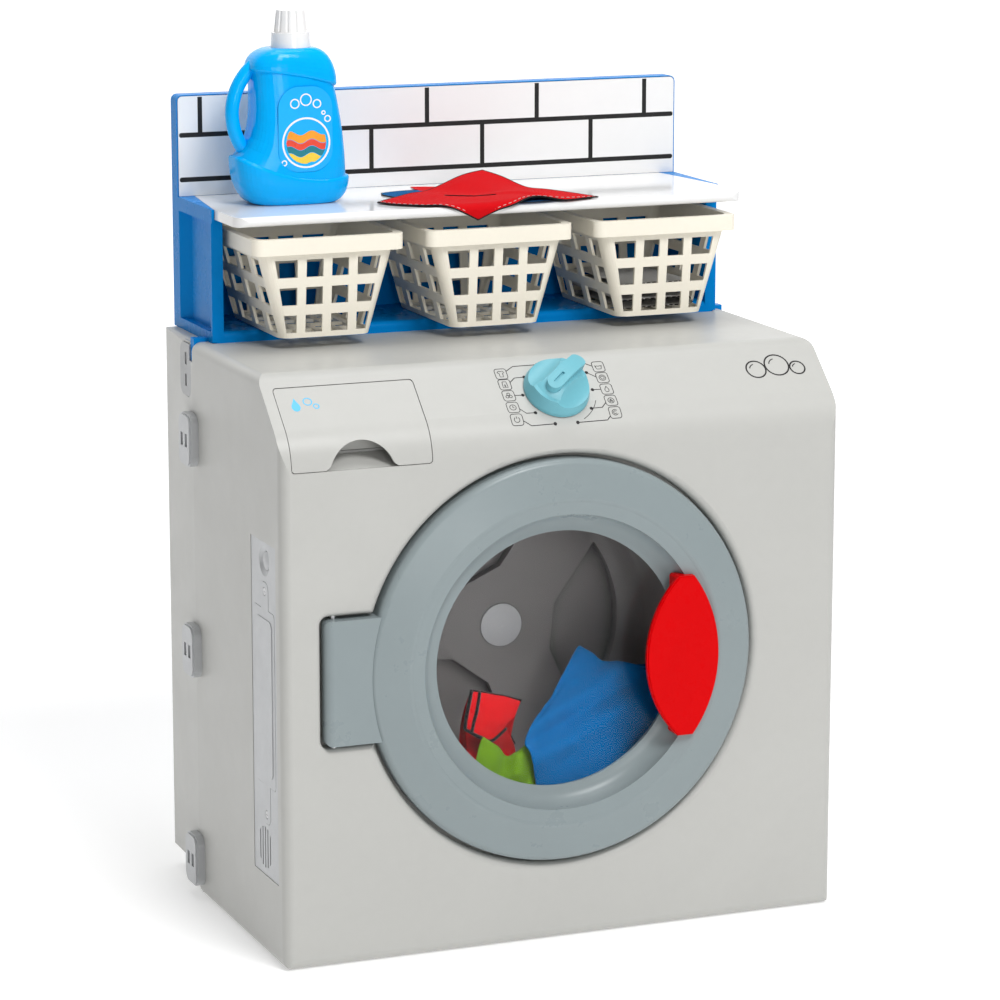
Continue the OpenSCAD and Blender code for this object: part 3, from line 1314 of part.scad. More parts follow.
module bottle_body() {
    steps = 9;
    color([0.0, 0.62, 0.92]) from_front() translate([bottle_x, bottle_y, shelf_z + 0.02]) {
        difference() {
            loft(concat([for (i = [0:steps]) foot_ring(i / steps)],
                [bottle_ring(foot_lip[0] + [0.6, 1.6], foot_lip[1] + [-0.6, 1.6], bottle_half * 0.99, 9)],
                [for (i = [0:steps]) waist_ring(i / steps)],
                [bottle_ring(shoulder_lip[0] + [0.5, -1.5], shoulder_lip[1] + [-0.5, -1.5], bottle_half * 0.89, -3)],
                [for (i = [0:steps]) dome_ring(i / steps)]));
            along_y(-bottle_t, label_y) translate(label_c) round_rect(47, 70, 18);
        }
        translate([handle_c[0], 0, handle_c[1]]) rotate([90, 0, 0]) rotate([0, 0, 128])
            rotate_extrude(angle = 104, $fn = 96) translate([49.5, 0]) circle(5.75);
        translate([neck_x, 0, bottle_h - 2]) cylinder(h = cap_h * 0.3 + 2, r = 12);
    }
}

module bottle_label() {
    color([0.75, 0.88, 0.95]) from_front() translate([bottle_x, bottle_y, shelf_z + 0.02])
        along_y(label_y - 0.6, label_y - 0.02) translate(label_c) round_rect(46.4, 69.4, 17.7);
}

module bottle_cap() {
    skirt_h = cap_h * 0.4;
    color([0.97, 0.97, 0.97]) from_front() translate([bottle_x + neck_x, bottle_y, shelf_z + bottle_h + 0.04]) difference() {
        union() {
            cylinder(h = skirt_h, r1 = 16.5, r2 = 15.8);
            translate([0, 0, skirt_h - 0.5]) cylinder(h = cap_h - skirt_h + 0.5, r1 = 13.8, r2 = 11.8);
        }
        for (a = [0:30:330]) rotate([0, 0, a]) translate([14.4, 0, skirt_h + 1]) rotate([0, -6, 0]) cylinder(h = cap_h, r = 1.7, $fn = 24);
        translate([0, 0, -eps]) cylinder(h = cap_h * 0.3 + eps + fit, r = 12 + fit);
    }
}

// Height of a cloth's folds at a place
function ripple(x, y, p) = sin(x * 3.1 + p) * cos(y * 2.3 - p) + 0.5 * sin((x + y) * 4.7 + 2 * p);

// Red cloth on the shelf: four corners, a raised fold, and a front corner that hangs over the edge
module cloth_red() {
    n = 15;
    thick = 1.6;
    edge = shelf_y0;
    left = [-88, edge + 40.5];
    front = [-30, edge - 15];
    right = [94, edge + 14.5];
    rear = [26, edge + 112.5];
    flat_z = shelf_z + 3.2;
    function at(u, v) = let (p = (1 - u) * ((1 - v) * left + v * rear) + u * ((1 - v) * front + v * right),
            over = max(0, edge + 5 - p[1]), up = 9 * exp(-pow((u - 0.35) / 0.25, 2)) * exp(-pow((v - 0.75) / 0.3, 2)))
        [p[0], max(p[1], edge - 2.2), flat_z + up + 0.9 * (1 + ripple(p[0], p[1], 20)) / 2 - max(0, over - 3) * 0.95];
    top = [for (i = [0:n]) [for (j = [0:n]) at(i / n, j / n)]];
    under = [for (row = top) [for (p = row) p[1] < edge + 1 ? p + [0, 1.2, -0.4] : p - [0, 0, thick]]];
    color([0.84, 0.13, 0.12]) from_front() sheet(top, under);
}

// Blue cloth that lies flat on the shelf under the red one
module cloth_blue() {
    n = 12;
    back = shelf_y0 + 96;
    corners = [[-64, back], [-20, back - 70], [66, back - 90], [20, back - 10]];
    function at(u, v) = (1 - u) * ((1 - v) * corners[0] + v * corners[3]) + u * ((1 - v) * corners[1] + v * corners[2]);
    grid = [for (i = [0:n]) [for (j = [0:n]) at(i / n, j / n)]];
    top = [for (row = grid) [for (p = row) [p[0], p[1], shelf_z + 1.0 + 0.25 * (ripple(p[0], p[1], 70) + 1.5) / 2]]];
    under = [for (row = grid) [for (p = row) [p[0], p[1], shelf_z + 0.02]]];
    color([0.10, 0.38, 0.66]) from_front() sheet(top, under);
}

// A heap of cloth on the drum's wall between two depths and two sides, counted from the door's axis
module heap(x0, x1, y0, y1, n, m, z_peak, x_peak, lean, phase) {
    r = drum_r - 0.6;
    function floor_z(x) = -sqrt(r * r - x * x);
    function share(q) = pow(max(0, 1 - pow(abs(q), 2.6)), 0.5);
    function top_z(i, j) = let (u = i / n, v = j / m, x = x0 + (x1 - x0) * u, y = y0 + (y1 - y0) * v,
            side = x < x_peak ? (x - x_peak) / (x_peak - x0) : (x - x_peak) / (x1 - x_peak),
            rise = (z_peak - floor_z(x)) * (0.28 + 0.72 * (1 - pow(abs(side), lean))))
        floor_z(x) + max(2, rise * (0.35 + 0.65 * share(2 * v - 1))
            + 3.2 * ripple(x * 1.3, y * 1.7, phase));
    top = [for (i = [0:n]) [for (j = [0:m]) [x0 + (x1 - x0) * i / n, y0 + (y1 - y0) * j / m, top_z(i, j)]]];
    under = [for (row = top) [for (p = row) [p[0], p[1], floor_z(p[0])]]];
    from_front() translate([door_x, 0, door_z]) sheet([for (i = [0:n]) [for (j = [0:m]) top[i][j]]], under);
}

module laundry_blue() { color([0.0, 0.40, 0.68]) heap(-2, 100, drum_front + 6, drum_back - drum_corner, 16, 12, -12, 38, 1.5, 15); }
module laundry_red() { color([0.82, 0.05, 0.10]) heap(-74, -5, drum_front + 46, drum_back - drum_corner, 12, 10, -34, -44, 1.8, 130); }
module laundry_green() { color([0.50, 0.72, 0.18]) heap(-66, -5, drum_front + 6, drum_front + 43, 12, 8, -78, -34, 2.2, 250); }

front_shell();
rear_shell();
side_clips();
top_clips();
shell_screws();
hutch_frame();
tile_panel();
tile_grout();
shelf_board();
module_plate();
module_box();
battery_door();
battery_door_screws();
battery_cells();
battery_contacts();
circuit_board();
speaker();
wiring();
button_switch();
power_button();
door_ring();
door_window();
door_back();
door_screws();
door_handle();
door_latch();
door_catch();
hinge_pin();
drum_pan();
hub_cap();
drum_axle();
axle_nut();
drum_carrier();
drum_bush();
carrier_screws();
drawer_front();
drawer_tray();
drawer_guide();
dial_knob();
dial_spindle();
dial_switch();
basket_left();
basket_middle();
basket_right();
basket_cloth();
bottle_body();
bottle_label();
bottle_cap();
cloth_red();
cloth_blue();
laundry_blue();
laundry_red();
laundry_green();
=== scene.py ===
import json
import math
import bpy
import bmesh
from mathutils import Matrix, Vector, noise
from mathutils.bvhtree import BVHTree


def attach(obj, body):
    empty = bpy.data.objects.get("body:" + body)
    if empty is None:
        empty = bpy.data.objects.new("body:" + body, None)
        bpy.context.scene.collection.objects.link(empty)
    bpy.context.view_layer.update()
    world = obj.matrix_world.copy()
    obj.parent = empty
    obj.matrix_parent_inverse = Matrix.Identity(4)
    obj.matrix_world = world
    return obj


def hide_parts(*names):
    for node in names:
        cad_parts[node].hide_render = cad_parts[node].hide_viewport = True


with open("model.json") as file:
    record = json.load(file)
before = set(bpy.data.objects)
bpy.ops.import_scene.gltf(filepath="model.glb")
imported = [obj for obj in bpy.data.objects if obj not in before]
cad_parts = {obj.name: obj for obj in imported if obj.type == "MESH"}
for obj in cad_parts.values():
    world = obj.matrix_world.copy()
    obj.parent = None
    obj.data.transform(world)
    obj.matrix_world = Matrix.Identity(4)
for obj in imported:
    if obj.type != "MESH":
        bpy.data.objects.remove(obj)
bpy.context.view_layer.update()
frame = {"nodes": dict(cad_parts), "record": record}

NODES = frame["nodes"]
MM = 0.001

# The cabinet's depth and its front face in the shared frame, in metres
BODY_DEPTH = 0.312
FRONT_Y = -BODY_DEPTH / 2

# Places in millimetres: x from the middle, depth behind the front face, z above the floor
DOOR_X, DOOR_Z = -4.0, 232.0
SHELF_Z, SHELF_T, SHELF_FRONT = 580.0, 8.0, 149.5
BASKET_X, BASKET_Y, BASKET_Z = 151.1, 220.2, 479.3
LABEL_X, LABEL_FRONT, LABEL_Z = -144.5, 207.1, 642.0

# The sloped panel: how far it runs back and up to the cabinet's top, and the dial's middle on it
PANEL_RUN, PANEL_RISE, CABINET_TOP = 56.0, 50.0, 470.0
DIAL_X, DIAL_UP = 2.0, 39.0


# ---------------------------------------------------------------- materials
class Shader:
    """A Principled material with short helpers for its node graph."""

    def __init__(self, name):
        self.mat = bpy.data.materials.new(name)
        self.mat.use_nodes = True
        self.tree = self.mat.node_tree
        self.bsdf = self.tree.nodes["Principled BSDF"]
        self.coords = self.tree.nodes.new("ShaderNodeTexCoord").outputs["Object"]

    def feed(self, socket, value):
        """Links another node's output to a socket, or sets a number, vector or colour on it."""
        if isinstance(value, bpy.types.NodeSocket):
            self.tree.links.new(value, socket)
        elif socket.type == "RGBA":
            socket.default_value = (*value, 1.0)
        else:
            socket.default_value = value

    def set(self, **values):
        """Feeds the shader's own sockets, with _ for each space in their names."""
        for key, value in values.items():
            self.feed(self.bsdf.inputs[key.replace("_", " ")], value)

    def node(self, kind, inputs=(), **settings):
        """A new node with its settings, and what its inputs get."""
        made = self.tree.nodes.new(kind)
        for key, value in settings.items():
            setattr(made, key, value)
        for key, value in dict(inputs).items():
            self.feed(made.inputs[key], value)
        return made

    def noise(self, scale, detail=3.0, rough=0.5, stretch=None, distort=0.0):
        place = self.coords
        if stretch:
            place = self.node("ShaderNodeMapping", {"Vector": place, "Scale": stretch}).outputs["Vector"]
        made = self.node("ShaderNodeTexNoise", {"Vector": place, "Scale": scale, "Detail": detail,
                                                "Roughness": rough, "Distortion": distort})
        return made.outputs["Fac"]

    def math(self, operation, a, b):
        return self.node("ShaderNodeMath", {0: a, 1: b}, operation=operation).outputs[0]

    def share(self, a, part, b):
        """The given part of one value, and the rest of another."""
        return self.math("ADD", self.math("MULTIPLY", a, part), self.math("MULTIPLY", b, 1 - part))

    def remap(self, value, low, high, to_low=0.0, to_high=1.0):
        made = self.node("ShaderNodeMapRange", {"Value": value, "From Min": low, "From Max": high,
                                                "To Min": to_low, "To Max": to_high})
        return made.outputs["Result"]

    def mix(self, factor, a, b):
        return self.node("ShaderNodeMix", {0: factor, 6: a, 7: b}, data_type="RGBA").outputs[2]

    def bump(self, height, strength, distance, below=None):
        inputs = {"Height": height, "Strength": strength, "Distance": distance}
        if below is not None:
            inputs["Normal"] = below
        return self.node("ShaderNodeBump", inputs).outputs["Normal"]


def shade(colour, factor):
    return tuple(min(1.0, max(0.0, c * factor)) for c in colour)


# Depths in metres of the plastic's moulded grain and of its handling marks
GRAIN_DEPTH, SCRATCH_DEPTH = 0.000008, 0.00005
# Painted shade in the drum's inside corners: how dark they get, as a share of its colour
CORNER_SHADE = 0.25


def moulded(name, colour, rough, grain=900.0, mottle=0.05, mottle_scale=6.0, swirl=0.0, coat=0.0,
            specular=0.3, metal=0.0, corners=0.0):
    """Moulded plastic: soft mottling, a fine moulded grain, uneven gloss, faint handling marks, and, where
    corners is given, painted shade in inside corners.
    """
    s = Shader(name)
    broad = s.noise(mottle_scale, 4.0, 0.55, distort=swirl)
    fine = s.noise(mottle_scale * 22, 3.0, 0.6)
    tone = s.remap(s.share(broad, 0.7, fine), 0.35, 0.65)
    base = s.mix(tone, shade(colour, 1 - mottle), shade(colour, 1 + mottle))
    # Painted shade: inside corners and recesses are darkened by ambient occlusion within the distance given
    # by corners
    if corners:
        painted_corner_shade = s.node("ShaderNodeAmbientOcclusion", {"Distance": corners}, samples=8)
        base = s.mix(s.remap(painted_corner_shade.outputs["AO"], 0.35, 0.95), shade(colour, CORNER_SHADE), base)
    smudge = s.noise(mottle_scale * 4.5, 5.0, 0.65)
    scratch = s.noise(70.0, 2.0, 0.5, stretch=(1.0, 0.06, 1.0))
    moulding = s.bump(s.noise(grain, 2.0, 0.5), 0.4, GRAIN_DEPTH)
    s.set(Base_Color=base, Roughness=s.remap(smudge, 0.3, 0.7, rough * 0.86, rough * 1.16),
          Normal=s.bump(scratch, 0.05, SCRATCH_DEPTH, moulding), Coat_Weight=coat, Coat_Roughness=0.12,
          Specular_IOR_Level=specular, Metallic=metal)
    return s.mat


def steel(name):
    """Bright steel with fine streaks."""
    s = Shader(name)
    streak = s.noise(900.0, 3.0, 0.5, stretch=(1.0, 1.0, 0.08))
    s.set(Base_Color=s.mix(streak, (0.52, 0.52, 0.53), (0.72, 0.72, 0.73)), Metallic=1.0,
          Roughness=s.remap(streak, 0.3, 0.7, 0.24, 0.40), Normal=s.bump(streak, 0.2, 0.00003))
    return s.mat


def clear_window(name):
    """Clear moulded plastic: light passes, with a polished surface and faint flow marks."""
    s = Shader(name)
    flow = s.noise(14.0, 2.0, 0.5)
    s.set(Base_Color=s.mix(flow, (0.94, 0.96, 0.97), (0.98, 0.99, 0.99)), Transmission_Weight=1.0,
          IOR=1.18, Specular_IOR_Level=0.5, Roughness=s.remap(flow, 0.3, 0.7, 0.03, 0.07),
          Normal=s.bump(flow, 0.05, 0.001))
    clear = s.node("ShaderNodeBsdfTransparent", {"Color": (0.95, 0.97, 0.98)})
    shadow = s.node("ShaderNodeLightPath").outputs["Is Shadow Ray"]
    mixer = s.node("ShaderNodeMixShader", {0: shadow, 1: s.bsdf.outputs[0], 2: clear.outputs[0]})
    s.feed(s.tree.nodes["Material Output"].inputs["Surface"], mixer.outputs[0])
    return s.mat


def woven(name, colour, thread=0.00045, sheen=0.04, rough=0.85):
    """Plain weave: over and under threads, slubs, faint fading, and a soft sheen."""
    s = Shader(name)
    turned = s.node("ShaderNodeMapping", {"Vector": s.coords, "Rotation": (0.3, 0.2, 0.6)})
    ways = {"Vector": turned.outputs["Vector"], "Scale": 0.32 / thread, "Distortion": 0.6, "Detail": 1.0}
    warp, weft = [s.node("ShaderNodeTexWave", ways, wave_type="BANDS", bands_direction=axis).outputs["Fac"]
                  for axis in ("X", "Y")]
    weave = s.math("MULTIPLY", warp, weft)
    slub = s.noise(700.0, 3.0, 0.6)
    base = s.mix(s.share(weave, 0.55, slub), shade(colour, 0.72), shade(colour, 1.12))
    faded = s.remap(s.noise(22.0, 4.0, 0.55), 0.35, 0.7, 0.0, 0.05)
    fuzz = s.bump(slub, 0.35, 0.00025)
    s.set(Base_Color=s.mix(faded, base, shade(colour, 1.5)), Normal=s.bump(weave, 0.7, thread * 0.5, fuzz),
          Roughness=s.remap(slub, 0.3, 0.7, rough * 0.9, min(1.0, rough * 1.1)),
          Sheen_Weight=sheen, Sheen_Roughness=0.5, Specular_IOR_Level=0.05)
    return s.mat


# Colour, roughness, and what else sets each plastic apart
PLASTICS = {
    "shell_white": ((0.495, 0.495, 0.472), 0.36,
                    dict(grain=700, mottle=0.02, specular=0.35, mottle_scale=5.0, swirl=1.5)),
    "clip_silver": ((0.50, 0.51, 0.52), 0.36, dict(mottle=0.05, mottle_scale=30.0, metal=0.25)),
    "clip_dark": ((0.40, 0.405, 0.41), 0.40, dict(mottle=0.05, mottle_scale=30.0, metal=0.25)),
    "hutch_blue": ((0.0, 0.21, 0.60), 0.26, dict(mottle=0.04, mottle_scale=8.0, specular=0.04)),
    "tile_white": ((0.84, 0.84, 0.84), 0.10, dict(mottle=0.01, mottle_scale=7.0, coat=0.3)),
    "grout_black": ((0.012, 0.012, 0.012), 0.6, dict(mottle=0.2, mottle_scale=60.0)),
    "inner_grey": ((0.42, 0.42, 0.41), 0.5, {}),
    "inner_black": ((0.02, 0.02, 0.021), 0.5, dict(mottle=0.2)),
    "cell_wrap": ((0.02, 0.12, 0.05), 0.25, dict(mottle=0.08, mottle_scale=40.0)),
    "board_green": ((0.01, 0.13, 0.04), 0.35, dict(mottle=0.15, mottle_scale=90.0)),
    "wire_red": ((0.45, 0.01, 0.01), 0.4, dict(mottle=0.1, mottle_scale=60.0)),
    "ring_grey": ((0.255, 0.30, 0.31), 0.30, dict(grain=800, mottle=0.02, mottle_scale=6.0, swirl=1.0)),
    "handle_red": ((0.66, 0.0, 0.0015), 0.28, dict(mottle=0.03, mottle_scale=20.0, specular=0.06)),
    # The drum's corners value paints shade into its inside corners and recesses
    "drum_grey": ((0.23, 0.21, 0.205), 0.34, dict(mottle=0.05, mottle_scale=9.0, swirl=1.5, corners=0.016)),
    "hub_grey": ((0.52, 0.51, 0.515), 0.35, dict(mottle=0.04, mottle_scale=20.0)),
    "bush_cream": ((0.75, 0.70, 0.55), 0.4, {}),
    "dial_aqua": ((0.16, 0.45, 0.53), 0.34, dict(mottle=0.03, mottle_scale=25.0)),
    "basket_cream": ((0.90, 0.85, 0.73), 0.33, dict(mottle=0.02, mottle_scale=12.0)),
    "bottle_blue": ((0.0, 0.40, 0.90), 0.13, dict(mottle=0.05, mottle_scale=10.0, specular=0.12, coat=0.1)),
    "label_film": ((0.01, 0.42, 0.90), 0.08, dict(mottle=0.04, mottle_scale=10.0, specular=0.3, coat=0.3)),
    "print_black": ((0.015, 0.013, 0.014), 0.45, dict(mottle=0.1, mottle_scale=120.0, grain=1500.0)),
    "print_white": ((0.85, 0.85, 0.85), 0.3, dict(mottle=0.02, mottle_scale=60.0)),
    "print_sky": ((0.10, 0.50, 0.80), 0.3, dict(mottle=0.05, mottle_scale=60.0)),
    "print_orange": ((0.85, 0.33, 0.03), 0.3, dict(mottle=0.06, mottle_scale=60.0)),
    "print_yellow": ((0.85, 0.60, 0.06), 0.3, dict(mottle=0.06, mottle_scale=60.0)),
    "print_coral": ((0.75, 0.07, 0.04), 0.3, dict(mottle=0.06, mottle_scale=60.0)),
    "print_teal": ((0.02, 0.20, 0.24), 0.3, dict(mottle=0.06, mottle_scale=60.0))}
FABRICS = {
    "cloth_white": ((0.74, 0.73, 0.71), {}),
    "fabric_red": ((0.70, 0.004, 0.008), {}),
    "fabric_blue": ((0.0, 0.115, 0.33), {}),
    "fabric_green": ((0.13, 0.26, 0.008), {}),
    "binding_black": ((0.008, 0.006, 0.007), dict(thread=0.0004, sheen=0.2, rough=0.8)),
    "thread_light": ((0.72, 0.62, 0.60), dict(thread=0.0003, sheen=0.2, rough=0.7))}

MATS = {name: moulded(name, colour, rough, **more) for name, (colour, rough, more) in PLASTICS.items()}
MATS.update({name: woven(name, colour, **more) for name, (colour, more) in FABRICS.items()})
MATS.update({"screw_steel": steel("screw_steel"), "window_clear": clear_window("window_clear")})

slots = {part["node"]: part["material_slot"] for part in frame["record"]["subparts"]}
for name, obj in NODES.items():
    obj.data.materials.clear()
    obj.data.materials.append(MATS[slots[name]])

# ---------------------------------------------------------------- small rounds on moulded edges
# Width of each node's edge rounds in millimetres, on edges sharper than SHARP_EDGE
EDGE_ROUNDS = {"hutch_frame": 0.8, "shelf_board": 0.8, "basket_left": 0.7, "basket_middle": 0.7,
               "basket_right": 0.7, "drawer_front": 0.5, "side_clips": 0.7, "top_clips": 0.4,
               "module_plate": 0.4, "battery_door": 0.4, "door_handle": 1.4, "dial_knob": 1.0,
               "tile_panel": 0.3, "drum_pan": 1.2}
SHARP_EDGE = math.radians(40)
for name, width in EDGE_ROUNDS.items():
    rounding = NODES[name].modifiers.new("edge_round", "BEVEL")
    rounding.width = width * MM
    rounding.segments = 2
    rounding.limit_method = "ANGLE"
    rounding.angle_limit = SHARP_EDGE
    rounding.use_clamp_overlap = True


# ---------------------------------------------------------------- soft pieces
def spline(points, t):
    """A point on a smooth curve through all the points, for t from 0 to 1."""
    last = len(points) - 1
    k = min(int(t * last), last - 1)
    f = t * last - k
    a, b, c, d = points[max(k - 1, 0)], points[k], points[k + 1], points[min(k + 2, last)]
    bend, twist = 2 * a - 5 * b + 4 * c - d, 3 * b - a - 3 * c + d
    return 0.5 * (2 * b + (c - a) * f + bend * f * f + twist * f ** 3)


def net_grid(rows, steps_v, steps_u):
    """Points on a smooth surface through rows of control points."""
    rows = [[Vector(p) for p in row] for row in rows]
    columns = [[spline(row, j / steps_u) for row in rows] for j in range(steps_u + 1)]
    return [[spline(columns[j], i / steps_v) for j in range(steps_u + 1)] for i in range(steps_v + 1)]


def patch_grid(side_a, side_b, end_a, end_b, steps_v, steps_u):
    """Points on a surface between four edges: side_a and side_b run along u, end_a and end_b along v."""
    side_a, side_b, end_a, end_b = [[Vector(p) for p in edge] for edge in (side_a, side_b, end_a, end_b)]
    grid = []
    for i in range(steps_v + 1):
        v = i / steps_v
        row = []
        for j in range(steps_u + 1):
            u = j / steps_u
            ruled = (1 - v) * spline(side_a, u) + v * spline(side_b, u)
            cross = (1 - u) * spline(end_a, v) + u * spline(end_b, v)
            corner_a = (1 - u) * side_a[0] + u * side_a[-1]
            corner_b = (1 - u) * side_b[0] + u * side_b[-1]
            corners = (1 - v) * corner_a + v * corner_b
            row.append(ruled + cross - corners)
        grid.append(row)
    return grid


def grid_normal(grid, i, j):
    a = grid[min(i + 1, len(grid) - 1)][j] - grid[max(i - 1, 0)][j]
    b = grid[i][min(j + 1, len(grid[0]) - 1)] - grid[i][max(j - 1, 0)]
    normal = a.cross(b)
    return normal.normalized() if normal.length > 1e-9 else Vector((0, 0, 1))


def folded(grid, fold):
    """Moves each point along the surface's normal by fold(u, v, point), in millimetres."""
    high, wide = len(grid) - 1, len(grid[0]) - 1
    return [[grid[i][j] + fold(j / wide, i / high, grid[i][j]) * grid_normal(grid, i, j)
             for j in range(wide + 1)] for i in range(high + 1)]


def new_piece(name, verts, faces, material, body):
    """A smooth mesh piece from points in millimetres, riding on a body."""
    mesh = bpy.data.meshes.new(name)
    mesh.from_pydata([Vector(v) * MM for v in verts], [], faces)
    mesh.validate()
    mesh.polygons.foreach_set("use_smooth", [True] * len(mesh.polygons))
    mesh.materials.append(material)
    obj = bpy.data.objects.new(name, mesh)
    bpy.context.scene.collection.objects.link(obj)
    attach(obj, body)
    return obj


def row_frame(p):
    """From (x, depth behind the front face, z) to the shared frame, in millimetres."""
    return Vector((p[0], p[1] + FRONT_Y / MM, p[2]))


def cloth_piece(name, grid, material, body, thick):
    """One sheet of cloth through a grid of points given as (x, depth, z) in millimetres."""
    high, wide = len(grid), len(grid[0])
    verts = [row_frame(p) for row in grid for p in row]
    faces = [(i * wide + j, i * wide + j + 1, (i + 1) * wide + j + 1, (i + 1) * wide + j)
             for i in range(high - 1) for j in range(wide - 1)]
    obj = new_piece(name, verts, faces, material, body)
    shell = obj.modifiers.new("thickness", "SOLIDIFY")
    shell.thickness = thick * MM
    shell.offset = 0
    finer = obj.modifiers.new("finer", "SUBSURF")
    finer.levels = finer.render_levels = 1
    return obj


# A direction that no thread or binding runs along
ASIDE = Vector((0.13, 0.21, 1.0))


def tube_piece(name, runs, radius, material, body, sides=6):
    """Thin round threads or bindings along each run of (x, depth, z) points."""
    verts, faces = [], []
    for run in runs:
        start = len(verts)
        for k, p in enumerate(run):
            ahead = run[min(k + 1, len(run) - 1)] - run[max(k - 1, 0)]
            ahead = ahead.normalized() if ahead.length > 1e-9 else Vector((1, 0, 0))
            side = ahead.cross(ASIDE).normalized()
            up = ahead.cross(side)
            for q in range(sides):
                a = 2 * math.pi * q / sides
                verts.append(row_frame(p + radius * (math.cos(a) * side + math.sin(a) * up)))
        for k in range(len(run) - 1):
            for q in range(sides):
                a, b = start + k * sides + q, start + k * sides + (q + 1) % sides
                faces.append((a, b, b + sides, a + sides))
        faces.append(tuple(start + q for q in reversed(range(sides))))
        faces.append(tuple(start + (len(run) - 1) * sides + q for q in range(sides)))
    return new_piece(name, verts, faces, material, body)


def dashes(path, dash, gap):
    """Cuts a path into short runs, as stitches."""
    runs, run, along, drawing = [], [path[0]], 0.0, True
    for a, b in zip(path, path[1:]):
        length = (b - a).length
        done = 0.0
        while done < length:
            whole = dash if drawing else gap
            step = min(whole - along, length - done)
            done += step
            along += step
            p = a + (b - a) * (done / length)
            if drawing:
                run.append(p)
            if along >= whole - 1e-6:
                if drawing and len(run) > 1:
                    runs.append(run)
                drawing = not drawing
                along = 0.0
                run = [p]
    return runs


def edge_path(grid, side, inset=0):
    """Points along one edge of a grid: low, high, left or right."""
    rows = {"low": grid[inset], "high": grid[-1 - inset], "left": [row[inset] for row in grid],
            "right": [row[-1 - inset] for row in grid]}
    return list(rows[side])


def wave(p, scale, phase):
    """Smooth unevenness that differs from cloth to cloth by its phase."""
    return noise.noise(p * scale + Vector((phase, 0.0, 0.0)))


def in_drum(grid, reach=119.6, front=25.2, back=127.0):
    """Keeps a piece inside the drum: points are (x, depth, z) counted from the drum's axis."""
    for row in grid:
        for p in row:
            r = math.hypot(p[0], p[2])
            if r > reach:
                p[0] *= reach / r
                p[2] *= reach / r
            p[1] = min(max(p[1], front), back)
    return [[Vector((p[0] + DOOR_X, p[1], p[2] + DOOR_Z)) for p in row] for row in grid]


BINDING = MATS["binding_black"]

# Blue towel: up the front over a crest, and down behind it to the drum's wall
towel = net_grid([
    [(-9, 27, -119), (15, 26.5, -119), (42, 26.5, -112), (68, 27, -99), (88, 28, -81), (101, 30, -64)],
    [(-14.5, 30, -84), (12, 30, -90), (36, 31, -88), (60, 32, -78), (84, 33, -64), (107, 36, -52)],
    [(-17, 34, -73), (6, 36, -67), (28, 38, -63), (54, 40, -54), (80, 43, -44), (111, 46, -40)],
    [(-5, 43, -57.5), (9, 45, -50), (30, 48, -46), (55, 50, -38), (82, 53, -31), (112, 54, -32)],
    [(19, 60, -40.5), (31, 63, -34), (44, 62, -30), (64, 60, -28), (86, 60, -26), (112, 59, -28)],
    [(47, 79, -12.5), (60, 74, -19), (73, 70, -23.5), (87, 66, -24.5), (100, 63, -25), (113, 62, -25)],
    [(53, 86, -19), (66, 80, -27), (78, 76, -31), (92, 72, -33), (104, 70, -34), (113, 70, -34)],
    [(48, 97, -58), (62, 92, -60), (76, 88, -62), (90, 86, -62), (102, 84, -58), (109, 82, -50)],
    [(40, 104, -112), (56, 100, -106), (70, 97, -97), (84, 94, -85), (95, 92, -73), (103, 90, -60)]], 66, 44)


# Height, place and width of the folds that run across the towel's front at TOWEL_SLANT
TOWEL_FOLDS = [(5.5, -70, 7.0), (-4.5, -86, 8.0), (3.2, -50, 6.0)]
TOWEL_SLANT = 0.42
# Height, scale and phase of its crumples, from large to small
TOWEL_CRUMPLES = [(2.6, 0.035, 3.1), (1.1, 0.09, 7.7), (0.25, 0.3, 1.7)]


def towel_fold(u, v, p):
    along = p[2] - TOWEL_SLANT * p[0]
    ridges = sum(height * math.exp(-((along - place) / width) ** 2) for height, place, width in TOWEL_FOLDS)
    fade = min(1.0, 8 * u + 0.3) * min(1.0, 6 * v, 6 * (1 - v))
    crumple = sum(height * wave(p, scale, phase) for height, scale, phase in TOWEL_CRUMPLES)
    return fade * ridges + min(1.0, 8 * v) * crumple


towel = in_drum(folded(towel, towel_fold))
drum_towel = cloth_piece("drum_towel", towel, MATS["fabric_blue"], "cabinet", 1.3)
towel_hem = tube_piece("drum_towel_hem", [edge_path(towel, "left"), edge_path(towel, "left", 2)], 0.55,
                       MATS["fabric_blue"], "cabinet")

# Red garment with a dark binding: its cuffed edge stands up, and the rest lies on the drum's wall
garment = net_grid([
    [(-58, 84, -100), (-44, 86, -107), (-30, 88, -111), (-14, 88, -115)],
    [(-58, 72, -58), (-43, 73, -62), (-27, 75, -66), (-10, 77, -68)],
    [(-54.5, 60, -34.2), (-40, 61, -38), (-24, 63, -43), (-8.5, 66, -47.8)],
    [(-58.5, 58, -50), (-44, 56, -53), (-30, 57, -56), (-17, 60, -60)],
    [(-61, 57, -65), (-50, 55.5, -71.5), (-38.5, 56, -76.5), (-24.5, 60, -68)],
    [(-57, 65, -82), (-44, 66, -88), (-30, 66, -90), (-13, 67, -88)],
    [(-60, 64, -101), (-45, 65, -109), (-29, 66, -114), (-12, 67, -117)]], 54, 28)


def garment_fold(u, v, p):
    return 1.3 * wave(p, 0.05, 11.0) + 0.8 * wave(p, 0.12, 5.0) * min(1.0, 4 * abs(v - 0.33))


garment = in_drum(folded(garment, garment_fold))
drum_garment = cloth_piece("drum_garment", garment, MATS["fabric_red"], "cabinet", 1.2)
crest = len(garment) // 3
lip = 2 * (len(garment) - 1) // 3
cuff = garment[crest:lip + 1]
cuff_line = [row[5] + Vector((0, -0.5, 0)) for row in cuff]
lip_line = [p + Vector((0, -0.4, -0.3)) for p in garment[lip]]
bound_edges = [list(garment[crest]), [row[0] for row in cuff], cuff_line, lip_line]
garment_binding = tube_piece("drum_garment_binding", bound_edges, 1.6, BINDING, "cabinet")

